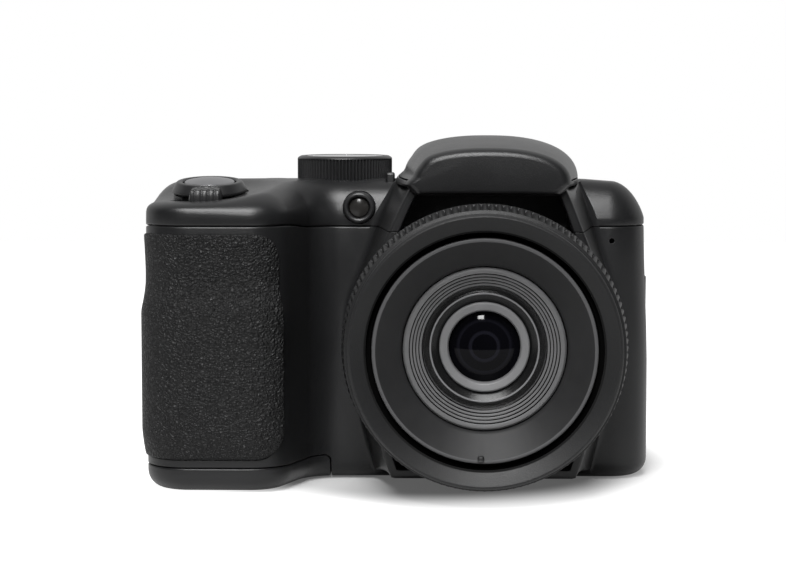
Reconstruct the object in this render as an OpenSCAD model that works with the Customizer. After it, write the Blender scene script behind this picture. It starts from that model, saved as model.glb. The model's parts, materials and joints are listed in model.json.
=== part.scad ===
// Bridge camera with a battery grip, a telescoping zoom lens and a pop-up flash.
// X runs to the right seen from the front, the lens looks along -Y, Z is up.
// The origin is the mouth of the tripod socket in the base.

/* [Body] */
// Width over the grip skin and the far side
body_w = 116.8; // [112:0.1:124]
// Thickness from the front face to the rear face
body_d = 34; // [33:0.5:38]
// Height of the seam under the top cover
seam_h = 58.6; // [57.5:0.1:61]
// Height of the top deck
deck_h = 69.2; // [68:0.1:73]
// Wall of the moulded shells
wall = 1.8; // [1.5:0.1:2]
// Rounding of the bottom edges
base_r = 4; // [3:0.1:4]
// Rounding of the upright front edge on the far side
side_r = 9; // [6:0.5:11]
// Rounding of the upright rear edges
rear_r = 7; // [5:0.5:9]
// Width of the rounded shoulder of the top cover
shoulder_w = 7.5; // [5:0.5:8]
// Fall of the deck towards the grip side, per unit of length
deck_tilt = 0.075; // [0:0.005:0.1]
// Fall of the deck towards the grip front, per unit of length
deck_pitch = 0.12; // [0.05:0.01:0.15]
// How far behind the middle the two lower shells meet
split = 9; // [8:0.5:10]
// Gap at the seams between the shells
parting = 0.2; // [0.1:0.05:0.3]
// Clearance between fixed inner pieces and the shells
fit = 0.25; // [0.2:0.05:0.4]
// Clearance of a key in its hole
key_fit = 0.15; // [0.1:0.05:0.25]

/* [Grip] */
// How far the grip stands in front of the body
grip_d = 21; // [20.5:0.5:25]
// Rounding of the grip's upright edges
grip_r = 10; // [10:0.5:11]
// Slant of the grip's inner side, in degrees
grip_lean = 20; // [10:1:30]
// Radius of the hollow between grip and body
root_r = 8; // [5:0.5:10]
// Thickness of the rubber skin
skin = 1.2; // [0.8:0.1:1.6]
// Extra swell of the skin under the palm
skin_swell = 0.9; // [0.2:0.1:1.2]
// Height of the skin's lower edge
skin_low = 6.8; // [6:0.1:9]
// Strip of bare shell between the skin and the seam
skin_strip = 1.8; // [1:0.1:3]
// Width of the skin across the grip
skin_w = 32.6; // [28:0.1:33]
// Depth of the skin from the grip front to its rear edge
skin_d = 47; // [40:0.5:48]
// Rounding of the skin's corners
skin_r = 6; // [3:0.5:8]

/* [Battery] */
// Diameter of one cell
cell_d = 13.9; // [13.5:0.1:14]
// Length of one cell over its nub
cell_l = 49.5; // [49:0.1:50.5]
// Clearance round a cell in the box
cell_fit = 0.15; // [0.1:0.05:0.2]
// Wall of the battery box
box_wall = 0.7; // [0.6:0.05:0.8]
// Height of the battery door's rim
door_h = 5.1; // [5:0.1:6]
// Length of the battery door
door_l = 41.7; // [40:0.1:43]
// Diameter of the door's hinge pin
door_pin_d = 1.1; // [1:0.1:1.2]

/* [Lens] */
// Lens axis, to the right of the tripod socket
lens_x = 19.8; // [19:0.1:22]
// Height of the lens axis
lens_h = 34.5; // [33.5:0.1:36]
// Reach of the lens ring in front of the body
lens_reach = 46; // [45:0.5:50]
// Diameter of the front ring at its face
ring_d = 60; // [60:0.5:62]
// Length of the front ring
ring_l = 12.5; // [10:0.5:14]
// Number of teeth on the front ring
ring_teeth = 120; // [60:2:140]
// Outer diameter of the fixed lens tube
tube_d = 55; // [55:0.1:56]
// Outer diameter of the zoom barrel
barrel_d = 48.6; // [47.5:0.1:48.8]
// Outer diameter of the inner barrel
inner_d = 35.2; // [34:0.1:36]
// Clear diameter of the front glass
glass_d = 15.6; // [14:0.1:16.5]
// Wall of the lens tubes
tube_wall = 1.2; // [1:0.1:1.3]
// Sliding clearance between lens tubes, on the radius
tube_fit = 0.25; // [0.2:0.05:0.3]
// Travel of the zoom barrel
zoom_travel = 26; // [20:0.5:27]
// Travel of the inner barrel in the zoom barrel
inner_travel = 20; // [15:0.5:22]
// Diameter of the guide rods
rod_d = 1.6; // [1.4:0.1:2]

/* [Flash] */
// Middle of the flash hump, to the right of the tripod socket
hump_x = 20.6; // [20:0.1:23]
// Width of the flash hump
hump_w = 42; // [40:0.5:44]
// Rise of the flash hump's crest above the deck
hump_rise = 10.2; // [9:0.1:13]
// How far the flash panel stands in front of the body
panel_d = 25; // [24:0.5:27]
// Width of the flash panel's lower edge
panel_w = 30; // [26:0.5:32]
// Diameter of the flash hinge knuckle
knuckle_d = 5.2; // [4.6:0.1:5.4]
// Diameter of the flash hinge pin
flash_pin_d = 1.8; // [1.5:0.1:2.2]

/* [Controls] */
// Shutter axis, to the left of the tripod socket
shutter_x = -42.7; // [-44:0.1:-41]
// Shutter axis, in front of the tripod socket
shutter_y = -21; // [-22:0.1:-20]
// Diameter of the zoom lever
lever_d = 17; // [16:0.1:18]
// Diameter of the shutter button
shutter_d = 11.6; // [10:0.1:12]
// Mode dial axis, to the left of the flash hump's side
dial_in = 12.3; // [12.1:0.1:13.5]
// Diameter of the mode dial
dial_d = 22.3; // [20:0.1:22.5]
// Height of the mode dial
dial_h = 5.5; // [4:0.1:7]
// Number of ridges round the mode dial
dial_ridges = 60; // [30:2:80]
// Diameter of the mode dial's shaft
dial_shaft_d = 5; // [4:0.1:6]
// Diameter of the power button
power_d = 6.8; // [5:0.1:8]
// Diameter of the burst button
burst_d = 5.8; // [5:0.1:6.4]
// Diameter of a rear button
key_d = 6; // [5:0.1:7]
// Diameter of the record button
record_d = 7.2; // [6:0.1:8]
// Diameter of the four-way pad
pad_d = 18.6; // [17:0.1:19.5]
// Diameter of the set button
set_d = 7.8; // [7:0.1:8.2]
// Travel of the keys
key_travel = 0.4; // [0.3:0.05:0.4]

/* [Fittings] */
// Width of the screen window
screen_w = 68.5; // [64:0.1:69]
// Strip of shell between the screen window and the seam
screen_strip = 2.1; // [1.5:0.1:6]
// Diameter of the autofocus lamp's bezel
lamp_d = 7.4; // [6:0.1:7.6]
// Tapping diameter of the tripod socket, for a 1/4 inch thread of 20 turns an inch
socket_d = 5.1; // [5.1:0.1:8]
// Depth of the tripod socket
socket_l = 6.5; // [5:0.5:7.5]
// Outer diameter of a strap lug
lug_d = 6.8; // [6:0.1:7.4]
// Hole of a strap lug
lug_hole_d = 4.2; // [3.5:0.1:4.6]
// Diameter of the case screws' heads
screw_head_d = 3.8; // [3:0.1:4.2]
// Diameter of the case screws
screw_d = 2; // [1.6:0.1:2.2]
// Length of the port cover
port_h = 12; // [10:0.5:13]

/* [Hidden] */
$fn = 48;

// Faces of the bare shell
left = skin - body_w / 2;
right = body_w / 2;
front = -body_d / 2;
rear = body_d / 2;
grip_front = front - grip_d;
inner_front = front + wall;
inner_rear = rear - wall;
rear_share = 0.6;
far = 200;

// Battery box and cells
box_r = cell_d / 2 + cell_fit + box_wall;
cell_pitch = cell_d + 2 * cell_fit;
cell_x = left + wall + fit + box_r;
cell_y = grip_front + wall + fit + box_r;
contact_t = 0.4;
contact_z = wall + 0.15;
cell_z = contact_z + contact_t + 0.2;
spring_l = 4;
box_top = cell_z + cell_l + spring_l;
box_cap = 1.2;

// Memory card and its socket, beside the cells
card = [2.1, 24, 32];
card_x = cell_x + cell_pitch + box_r + 1.1;
card_y = -14.5;
card_z = 6;
socket_wall = 0.6;
socket_low = card_z + 4;
socket_top = card_z + card[2] + 2;

// Grip and hollow beside it
grip_in_x = cell_x + cell_pitch + grip_r - wall - fit - box_r;
grip_c_y = grip_front + grip_r;
lean_x = grip_in_x + grip_r * cos(grip_lean);
lean_y = grip_c_y - grip_r * sin(grip_lean);
lean_run = (front - root_r + root_r * sin(grip_lean) - lean_y) / cos(grip_lean);
root_x = lean_x + lean_run * sin(grip_lean) + root_r * cos(grip_lean);
skin_high = seam_h - skin_strip;

// Battery door
door_x = left + door_l;
door_gap = 0.3;
door_pin_z = 1.4;
door_pin_x = door_x - door_pin_z;
door_knuckle_r = door_pin_z - 0.1;
hinge_at = [-6, 6];
hinge_l = 3.2;
lug_fit = 0.3;
latch_at = [cell_x + cell_pitch / 2, 4];
latch_size = [8, 9];
latch_neck = 3;
latch_travel = 3;

// Lens stack, as distances in front of the body's middle
ring_front = body_d / 2 + lens_reach;
ring_back = ring_front - ring_l;
ring_r = ring_d / 2;
ring_tooth = 0.7;
tube_r = tube_d / 2;
tube_in = tube_r - tube_wall;
tube_front = ring_front - 4.2;
cam_out = tube_in - tube_fit;
barrel_r = barrel_d / 2;
cam_in = barrel_r + tube_fit;
barrel_front = ring_front - 3;
barrel_hold = 14.8;
barrel_back = tube_front - zoom_travel - barrel_hold;
inner_r = inner_d / 2;
inner_front_s = barrel_front - 4.6;
inner_hold = 7.4;
inner_back = inner_front_s - inner_travel - inner_hold;
glass_r = glass_d / 2;
cell_front = inner_front_s - 9.6;
baffle_r = glass_r + 5.6;
ridges = 5;
ridge_drop = 0.55;
chassis_s = 3.8;
chassis_t = 1.2;
base_s = chassis_s + chassis_t;
bulkhead_t = 2;
rod_at = 13.5;
rod_start = base_s + 0.6;
rod_end = cell_front - 1.8;
group_r = rod_at + rod_d / 2 + 0.9;
variator_s = 21;
variator_t = 4;
focus_s = 10;
focus_t = 3;
lens_bore = tube_r + fit;
filter_size = [14, 12];
filter_t = 0.7;
ear_angles = [45, 200, 320];
ear_at = tube_r + 2;
ear_r = 2.6;

// Zoom drive
cam_teeth = 68;
pinion_teeth = 14;
tip_share = 0.75;
root_share = 1.1;
gear_module = cam_out / (cam_teeth / 2 + tip_share);
gear_r = gear_module * cam_teeth / 2;
pinion_r = gear_module * pinion_teeth / 2;
drive_angle = 135;
drive_at = gear_r + pinion_r;
drive_x = lens_x + drive_at * cos(drive_angle);
drive_z = lens_h + drive_at * sin(drive_angle);
motor_r = 4.8;
motor_l = 14.5;
motor_front = 8;
shaft_r = 0.75;
band_back = motor_front + 1.5;
band_l = 5.5;
band_wall = 2.4;
band_front = band_back + band_l;
rack_first = 24;
rack_last = 50;
pressure = 20;
backlash = 0.2;

// Nacelle round the lens
nose = front - panel_d + 3.5;
nacelle_r = ring_r + 1;

// Flash hump
hump_h = deck_h + hump_rise;
part_h = deck_h + 1;
hinge_y = 8;
hinge_z = part_h + 1.2;
knuckle_r = knuckle_d / 2;
sweep_r = 1.5 * knuckle_r + 0.3;
ear_x = 14;
ear_l = 5.7;
spring_room = 3;
dome_power = 2.4;
panel_low = deck_h - 2;
panel_y = front - panel_d;
head_gap = 0.3;
head_wall = 1.6;
flash_w = panel_w - 3;
flash_l = 22;
flash_t = 1;
flash_y = nose + 1;
tube_lift = 2.4;
flash_tube_r = 1.2;
spring_wire = 0.25;

// Top controls
knee_x = -20;
shutter_tilt = atan(deck_pitch);
shutter_z = deck_at(shutter_x, shutter_y);
shutter_proud = 3.6;
lever_bore = shutter_d / 2 + 0.3;
lever_sleeve = 0.9;
lever_room = 0.8;
tab_w = 7.4;
tab_reach = 3;
dial_x = hump_x - hump_w / 2 - dial_in;
dial_y = -1;
dial_z = deck_h + 0.3;
dial_rim = 0.8;
power_at = [dial_x - 16.8, 6];
burst_at = [power_at[0] - 8, 6];
collar = 0.8;
collar_t = 0.8;
collar_gap = 0.2;
flash_key = [1.9, 5];
flash_key_x = hump_x - hump_w / 2 - flash_key[0] / 2 - 0.3;
flash_key_y = front + 7.4;
flash_key_low = deck_h - wall - 3.2;
lamp_x = -8.7;
lamp_z = seam_h + lamp_d / 2 + 0.6;

// Rear controls
screen_rim = 7.4;
screen_foot = 6.5;
screen_h = seam_h - screen_foot - screen_strip;
screen_x = right - screen_rim - screen_w / 2;
screen_left = screen_x - screen_w / 2;
screen_z = screen_foot + screen_h / 2;
panel_t = 3.5;
board_t = 1.2;
board_y = inner_rear - panel_t - board_t - 0.7;
key_board_t = 1;
key_face = inner_rear - 2.6;
record_at = [screen_left - 9, seam_h - 7.1];
menu_at = [screen_left - 9, seam_h - 17.1];
play_at = [screen_left - 10.5, 13.5];
delete_at = [screen_left - 26.5, 13.5];
pad_at = [screen_left - 18.5, 28];
thumb_x = [left + 4.2, screen_left - 15.5];
thumb_z = [seam_h - 18.1, seam_h - 2.6];
thumb_proud = 1.8;
post_x = left + 6.2;

// Frame behind the lens
bay_x = card_x + card[0] + 4.2;
bay_low = 9;
bay_high = seam_h - 2.6;
post_r = 2;
posts_x = [bay_x + 4, right - screen_rim];
posts_z = [bay_low + 4, bay_high - 6];
sensor_size = [20, 18];
chip_size = [9, 7];

// Fittings
lug_y = 6;
lug_in = 4.9;
lug_drop = 4.6;
bush_r = 4.6;
bush_flange = 2.4;
port_y = [-3, 7];
port_z = seam_h - 24.6;
port_t = 1.4;
port_pin_r = 0.35;
screw_y = rear - 5;
screws_base = [[-8, screw_y], [lens_x, screw_y], [right - 10.4, screw_y - 1], [right - 18.4, front + 8]];
screw_head_t = 1;
screw_l = 5;
mic_x = right - side_r;
mic_z = seam_h - 3.3;
capacitor_r = 4.2;
capacitor_l = 21;

// Height of the deck, which slopes down over the grip
function deck_at(x, y) = min(deck_h, deck_h + deck_tilt * (x - knee_x) + deck_pitch * (y - front));

// Points of an elliptical arc
function arc(x, y, rx, ry, from, to, steps = 6) =
    [for (i = [0:steps]) let (a = from + (to - from) * i / steps) [x + rx * cos(a), y + ry * sin(a)]];

// A radius drawn in by an inset, and never quite nothing
function less(r, inset) = max(r - inset, 0.4);

// Outline of the body from above, anticlockwise, drawn in by inset and at the rear by back
function plan(inset, back) = concat(
    arc(right - rear_r, rear - rear_r, less(rear_r, inset), less(rear_r, back), 0, 90),
    arc(left + rear_r, rear - rear_r, less(rear_r, inset), less(rear_r, back), 90, 180),
    arc(left + grip_r, grip_c_y, less(grip_r, inset), less(grip_r, inset), 180, 270),
    arc(grip_in_x, grip_c_y, less(grip_r, inset), less(grip_r, inset), 270, 360 - grip_lean),
    arc(root_x, front - root_r, root_r + inset, root_r + inset, 180 - grip_lean, 90),
    arc(right - side_r, front + side_r, less(side_r, inset), less(side_r, inset), 270, 360));

function level(inset, back, z) = [for (p = plan(inset, back)) [p[0], p[1], z]];

// Place inside the grip from which the whole outline of the body is in sight
hub = [cell_x + cell_pitch / 2, 0];

// Solid through rings of equal length, the lowest first, closed towards a hub of a given height at each end
module loft(rings, hub_low, hub_high) {
    n = len(rings[0]);
    m = len(rings);
    ends = [[hub[0], hub[1], hub_low], [hub[0], hub[1], hub_high]];
    sides = [for (j = [0:m - 2]) for (i = [0:n - 1]) let (k = (i + 1) % n)
        [j * n + i, (j + 1) * n + i, (j + 1) * n + k, j * n + k]];
    caps = [for (i = [0:n - 1]) let (k = (i + 1) % n) for (top = [0, 1])
        top == 0 ? [m * n, i, k] : [m * n + 1, (m - 1) * n + k, (m - 1) * n + i]];
    points = concat([for (ring = rings) each ring], ends);
    polyhedron(points = points, faces = concat(sides, caps), convexity = 8);
}

// Box between two corners
module between(a, b) {
    translate(a) cube(b - a);
}

// Cylinder along X, from one place to another
module along_x(x0, x1, y, z, r) {
    translate([x0, y, z]) rotate([0, 90, 0]) cylinder(h = x1 - x0, r = r);
}

// Cylinder along Y, from one place to another
module along_y(y0, y1, x, z, r) {
    translate([x, y0, z]) rotate([-90, 0, 0]) cylinder(h = y1 - y0, r = r);
}

// Children stand on the lens axis, their Z towards the front
module on_lens(x = lens_x, z = lens_h) {
    translate([x, 0, z]) rotate([90, 0, 0]) children();
}

// Ring or disc on the lens axis from radius and distance pairs
module turned(points) {
    on_lens() rotate_extrude() polygon(points);
}

// Outline of one involute tooth at an angle, clockwise, standing just inside its root circle
function tooth(pitch_r, count, at) = let (
    base_circle = pitch_r * cos(pressure),
    tip_r = pitch_r + tip_share * gear_module,
    start = max(base_circle, root_of(pitch_r)),
    half = 90 / count - backlash / pitch_r * 90 / PI + roll(pressure),
    flank = [for (i = [0:3]) let (r = start + (tip_r - start) * i / 3)
        [r, half - roll(acos(base_circle / r))]],
    deep = root_of(pitch_r) - 0.3)
    concat([polar(deep, at + half)], [for (f = flank) polar(f[0], at + f[1])],
        [for (i = [3:-1:0]) polar(flank[i][0], at - flank[i][1])], [polar(deep, at - half)]);

function root_of(pitch_r) = pitch_r - root_share * gear_module;

// Angle that an involute has turned through at a pressure angle
function roll(a) = tan(a) * 180 / PI - a;
function polar(r, a) = [r * cos(a), r * sin(a)];

// Round coil of wire, as one tube along a helix that starts and ends on its axis direction
module coil(r0, r1, pitch, turns, wire) {
    per = 12;
    sides = 5;
    count = per * turns;
    function radius(i) = r0 + (r1 - r0) * i / count;
    function centre(i) = concat(polar(radius(i), 360 * i / per), [pitch * i / per]);
    rings = [for (i = [0:count]) let (a = 360 * i / per, c = centre(i)) [for (k = [0:sides - 1])
        let (b = 360 * k / sides) c + wire * [cos(b) * cos(a), cos(b) * sin(a), sin(b)]]];
    n = sides;
    polyhedron(points = [for (ring = rings) for (p = ring) p], faces = concat([[for (i = [n - 1:-1:0]) i]],
        [for (j = [0:count - 1]) for (i = [0:n - 1]) let (k = (i + 1) % n, a = j * n, b = a + n)
            for (t = [0, 1]) t == 0 ? [a + i, a + k, b + k] : [a + i, b + k, b + i]],
        [[for (i = [0:n - 1]) count * n + i]]), convexity = 10);
}

// Lower half of the body's outer form, with its rounded base
module lower_form(inset, top) {
    r = base_r - inset;
    foot = [for (a = [0:22.5:90]) let (in = r * (1 - sin(a)))
        level(inset + in, inset + rear_share * in, inset + r * (1 - cos(a)))];
    loft(concat(foot, [level(inset, inset, top)]), inset, top);
}

// One ring of the rounded shoulder between a height and the deck
function shoulder(inset, rise, a) = let (in = shoulder_w * (1 - cos(a)))
    [for (p = plan(inset + in, inset + rear_share * in))
        [p[0], p[1], rise + (deck_at(p[0], p[1]) - inset - rise) * sin(a)]];

// Domed form of the top cover
module upper_form(inset, low) {
    loft(concat([level(inset, inset, low)], [for (a = [0:15:90]) shoulder(inset, low + 1.5, a)]),
        low, deck_at(hub[0], hub[1]) - inset);
}

// Tapered housing round the lens, from the body's face to its nose
module nacelle() {
    back = front + shoulder_w + 1;
    hull() {
        on_lens() translate([0, 0, -back]) cylinder(h = back - front - 0.3, r = nacelle_r, $fn = 64);
        between([hump_x - hump_w / 2, front + 0.3, deck_h - 1], [hump_x + hump_w / 2, back, deck_h - 0.3]);
        between([lens_x - 0.8 * nacelle_r, front + 0.3, 2], [lens_x + 0.8 * nacelle_r, back, 3]);
        on_lens() translate([0, 0, -nose - 1]) cylinder(h = 1, r = nacelle_r - 1.6, $fn = 64);
        between([hump_x - panel_w / 2 - 2, nose, deck_h - 1],
            [hump_x + panel_w / 2 + 2, nose + 1, deck_h - 0.3]);
        between([lens_x - 0.5 * nacelle_r, nose, 8], [lens_x + 0.5 * nacelle_r, nose + 1, 9]);
    }
}

// Bore for the lens tube, and the recess round it in the nose
module lens_way() {
    on_lens() translate([0, 0, -inner_front - 4]) cylinder(h = far, r = lens_bore);
    on_lens() translate([0, 0, -nose - 4]) cylinder(h = far, r = nacelle_r - 3);
    between([hump_x - panel_w / 2 - 0.5, nose - 1, lens_h + nacelle_r / 2],
        [hump_x + panel_w / 2 + 0.5, nose + 4, deck_h - 1.2]);
}

// Outline of the hump across the camera, a flattened arch on a straight foot
function arch(half, low, high, foot, foot_z) = concat([for (i = [0:24]) let (a = 180 * i / 24)
    [half * sign(cos(a)) * pow(abs(cos(a)), 2 / dome_power),
        low + (high - low) * pow(sin(a), 2 / dome_power)]],
    [[-foot, foot_z], [foot, foot_z]]);

module slice(y, points) {
    translate([hump_x, y, 0]) rotate([90, 0, 0]) linear_extrude(0.1) polygon(points);
}

// Whole form of the flash hump, drawn in by inset
module hump_form(inset = 0) {
    half = hump_w / 2 - inset;
    low = deck_h - 1;
    hull() {
        slice(panel_y + inset + 0.1,
            arch(half - 4, deck_h, hump_h - 3.2 - inset, panel_w / 2 - inset, panel_low));
        slice(panel_y + inset + 2,
            arch(half - 2.8, deck_h, hump_h - 2.2 - inset, panel_w / 2 + 1.2 - inset, panel_low));
        slice(panel_y + 30, arch(half, deck_h, hump_h - inset, half, low));
        slice(hinge_y, arch(half - 1.2, deck_h, hinge_z + knuckle_r - inset, half - 1.2, low));
        slice(rear - 1 - inset, arch(half - 4, low, deck_h + 1 - inset, half - 4, low - 0.5));
    }
}

// Space that the flash head fills, grown by a gap where the fixed hump keeps clear of it
module head_zone(gap) {
    between([-far, -far, part_h - gap], [far, hinge_y - knuckle_r - head_gap + gap, far]);
    between([hump_x - ear_x - gap, -far, part_h - gap], [hump_x + ear_x - spring_room + gap, hinge_y, far]);
    along_x(hump_x - ear_x - gap, hump_x + ear_x - spring_room + gap, hinge_y, hinge_z, knuckle_r + gap);
    between([-far, -far, 0], [far, nose - head_gap + gap, far]);
}

// Children stand on the tilted shutter axis
module on_shutter() {
    translate([shutter_x, shutter_y, shutter_z]) rotate([shutter_tilt, 0, 0]) children();
}

// Round key that is pressed from the rear, with its collar inside the wall
module rear_key(x, z, d, proud) {
    along_y(key_face + key_travel + collar_gap, rear + proud, x, z, d / 2);
    along_y(inner_rear - collar_gap - collar_t, inner_rear - collar_gap, x, z, d / 2 + collar);
}

// Round key that is pressed from above, with its collar under the deck
module top_key(x, y, d, proud) {
    translate([x, y, deck_h - wall - 3]) cylinder(h = wall + 3 + proud, r = d / 2);
    translate([x, y, deck_h - wall - collar_gap - collar_t]) cylinder(h = collar_t, r = d / 2 + collar);
}

// Hole in the shell for the port cover
module port_hole() {
    between([right - 3, port_y[0] - 0.2, port_z - 0.2], [right + 3, port_y[1] + 0.2, port_z + port_h + 0.2]);
    port_pivot(0.05, 0.9);
}

module port_pivot(gap, reach) {
    translate([right - port_t / 2, port_y[1] - port_t / 2, port_z - reach])
        cylinder(h = port_h + 2 * reach, r = port_pin_r + gap);
}

module base_screw_holes() {
    for (p = screws_base) {
        translate([p[0], p[1], -1]) cylinder(h = screw_l + 1, r = screw_d / 2 + 0.1);
        translate([p[0], p[1], -1]) cylinder(h = screw_head_t + 1.3, r = screw_head_d / 2 + 0.1);
    }
}

module front_shell() {
    color("#1c1d1e") difference() {
        union() {
            intersection() {
                lower_form(0, seam_h - parting / 2);
                between([-far, -far, -1], [far, split - parting / 2, far]);
            }
            intersection() {
                nacelle();
                between([-far, -far, -1], [far, far, seam_h - parting / 2]);
            }
        }
        difference() {
            lower_form(wall, seam_h + 1);
            door_lugs();
        }
        lens_way();
        difference() {
            between([-far, -far, -1], [door_x + door_gap, far, door_h]);
            door_lugs();
        }
        along_y(hinge_at[0] - 5, hinge_at[1] + 5, door_pin_x, door_pin_z, door_pin_d / 2);
        translate([0, 0, -1]) cylinder(h = 5, r = bush_r + 0.1);
        base_screw_holes();
        port_hole();
        along_y(front - 1, inner_front + 1, mic_x, mic_z, 0.6);
    }
}

// Two lugs that carry the door's hinge pin
module door_lugs() {
    for (y = hinge_at) {
        along_y(y - hinge_l / 2, y + hinge_l / 2, door_pin_x, door_pin_z, door_knuckle_r - 0.1);
        between([door_pin_x, y - hinge_l / 2, 0.3], [door_x + 2, y + hinge_l / 2, 2.4]);
    }
}

module rear_shell() {
    color("#1b1c1d") difference() {
        union() {
            difference() {
                intersection() {
                    lower_form(0, seam_h - parting / 2);
                    between([-far, split + parting / 2, -1], [far, far, far]);
                }
                lower_form(wall, seam_h + 1);
            }
            for (z = posts_z) along_y(key_face, inner_rear + 0.1, post_x, z, 1.6);
        }
        between([-far, -far, -1], [door_x + door_gap, far, door_h]);
        between([screen_x - screen_w / 2 - fit, 0, screen_z - screen_h / 2 - fit],
            [screen_x + screen_w / 2 + fit, far, screen_z + screen_h / 2 + fit]);
        along_y(0, far, record_at[0], record_at[1], record_d / 2 + key_fit);
        for (p = [menu_at, play_at, delete_at]) along_y(0, far, p[0], p[1], key_d / 2 + key_fit);
        along_y(inner_rear - 1, far, pad_at[0], pad_at[1], pad_d / 2 + 2 * key_fit);
        base_screw_holes();
    }
}

module top_cover() {
    color("#202122") difference() {
        union() {
            difference() {
                union() {
                    upper_form(0, seam_h + parting / 2);
                    intersection() {
                        nacelle();
                        between([-far, -far, seam_h + parting / 2], [far, far, far]);
                    }
                }
                upper_form(wall, seam_h - 1);
            }
            difference() {
                intersection() {
                    hump_form();
                    between([-far, nose, deck_h - 0.5], [far, far, far]);
                }
                head_zone(head_gap);
            }
            for (side = [-1, 1]) intersection() {
                hump_form();
                translate([hump_x + side * (ear_x + head_gap + ear_l / 2), hinge_y, hinge_z])
                    rotate([0, 90, 0]) cylinder(h = ear_l, r = knuckle_r, center = true);
            }
            on_shutter() translate([0, 0, -3]) cylinder(h = 3, r = lever_d / 2 + lever_room);
            translate([dial_x, dial_y, deck_h - wall - 3]) cylinder(h = 4, r = dial_shaft_d / 2 + 2);
        }
        lens_way();
        along_x(hump_x - ear_x - 4.5, hump_x + ear_x + 4.5, hinge_y, hinge_z, flash_pin_d / 2);
        along_x(hump_x - ear_x - 0.8 * head_gap, hump_x + ear_x + 0.8 * head_gap,
            hinge_y, hinge_z, knuckle_r + head_gap);
        on_shutter() cylinder(h = far, r = lever_d / 2 + lever_room);
        on_shutter() translate([0, 0, -10]) cylinder(h = far, r = lever_bore + lever_sleeve + 0.2);
        on_shutter() lever_way();
        translate([dial_x, dial_y, 0]) cylinder(h = far, r = dial_shaft_d / 2 + 0.05);
        translate([power_at[0], power_at[1], 0]) cylinder(h = far, r = power_d / 2 + key_fit);
        translate([burst_at[0], burst_at[1], 0]) cylinder(h = far, r = burst_d / 2 + key_fit);
        flash_key_block(key_fit, key_fit, flash_key_low - 4, far);
        along_y(-far, 0, lamp_x, lamp_z, lamp_d / 2 + 0.1);
        for (side = [-1, 1]) {
            along_y(lug_y - 3.5, lug_y + 3.5, lug_at(side), deck_h - lug_drop, lug_d / 2 + 0.8);
            lug_stem(side, 0.1);
        }
    }
}

// Sector in front of the shutter through which the lever's tab sweeps
module lever_way() {
    way_in = lever_d / 2 - 2.1;
    way_out = lever_d / 2 + 8;
    rotate([0, 0, 225]) rotate_extrude(angle = 90)
        polygon([[way_in, -1], [way_out, -1], [way_out, 8], [way_in, 8]]);
}

module flash_key_block(gap_x, gap_y, z0, z1) {
    half = flash_key / 2 + [gap_x, gap_y];
    between([flash_key_x - half[0], flash_key_y - half[1], z0],
        [flash_key_x + half[0], flash_key_y + half[1], z1]);
}

function lug_at(side) = side > 0 ? right - lug_in : left + lug_in;

// Flat stem of a strap lug, running inwards through the shoulder
module lug_stem(side, gap) {
    translate([lug_at(side), lug_y, deck_h - lug_drop]) rotate([0, side * 45, 0])
        between([-1.3 - gap, -1 - gap, -lug_d / 2 - 5], [1.3 + gap, 1 + gap, -lug_hole_d / 2 - 0.3]);
}

// How far the skin falls short of its full thickness: least under the palm, most at its edges
function swell(z) = skin_swell * (1 - sin(180 * pow((z - skin_low) / (skin_high - skin_low), 0.8)));

module grip_skin() {
    color("#26272a") difference() {
        intersection() {
            loft([for (i = [0:8]) let (z = skin_low + (skin_high - skin_low) * i / 8)
                level(swell(z) - skin, 0, z)], skin_low, skin_high);
            translate([0, rear, 0]) rotate([90, 0, 0]) linear_extrude(far) offset(r = skin_r)
                offset(delta = -skin_r) translate([-far, skin_low])
                square([far - body_w / 2 + skin_w, skin_high - skin_low]);
            between([-far, -far, 0], [far, grip_front + skin_d, far]);
        }
        lower_form(-0.05, seam_h);
    }
}

module thumb_rest() {
    color("#26272a") hull() {
        between([thumb_x[0], rear, thumb_z[0]], [thumb_x[1], rear + 0.6, thumb_z[1]]);
        between([thumb_x[0] + 4, rear, thumb_z[0] + 3],
            [thumb_x[1] - 3, rear + thumb_proud, thumb_z[1] - 3]);
    }
}

module chassis() {
    color("silver") difference() {
        union() {
            between([bay_x, -base_s, bay_low], [right - wall - fit, -chassis_s, bay_high]);
            for (x = posts_x) for (z = posts_z) along_y(-chassis_s - 0.1, board_y, x, z, post_r);
        }
        between([lens_x - chip_size[0] / 2 - 3, -far, lens_h - chip_size[1] / 2 - 3],
            [lens_x + chip_size[0] / 2 + 3, far, lens_h + chip_size[1] / 2 + 3]);
        on_lens(drive_x, drive_z) translate([0, 0, -far / 2]) cylinder(h = far, r = motor_r + fit);
        lens_screw_shanks(0.1);
    }
}

// Main board on the frame's posts, and the board behind the rear keys
module circuit_boards() {
    color("darkgreen") {
        between([bay_x, board_y, bay_low + 1], [right - wall - fit - 2.4, board_y + board_t, bay_high - 2]);
        between([left + 3.2, key_face - key_board_t, door_h + 3],
            [screen_left - 3.5, key_face, bay_high - 1]);
    }
}

module image_sensor() {
    color("#202830") {
        between([lens_x - sensor_size[0] / 2, -chassis_s + 0.1, lens_h - sensor_size[1] / 2],
            [lens_x + sensor_size[0] / 2, -chassis_s + 0.1 + board_t, lens_h + sensor_size[1] / 2]);
        between([lens_x - chip_size[0] / 2, -chassis_s - 1, lens_h - chip_size[1] / 2],
            [lens_x + chip_size[0] / 2, -chassis_s + 0.2, lens_h + chip_size[1] / 2]);
    }
}

// Flat filter plate, or its seat when grown by a gap
module filter_plate(gap, t) {
    on_lens() translate([-filter_size[0] / 2 - gap, -filter_size[1] / 2 - gap, base_s + 0.05 - gap])
        cube([filter_size[0] + 2 * gap, filter_size[1] + 2 * gap, t + 2 * gap]);
}

module ir_filter() {
    color("#7fb0a8") filter_plate(0, filter_t);
}

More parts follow.
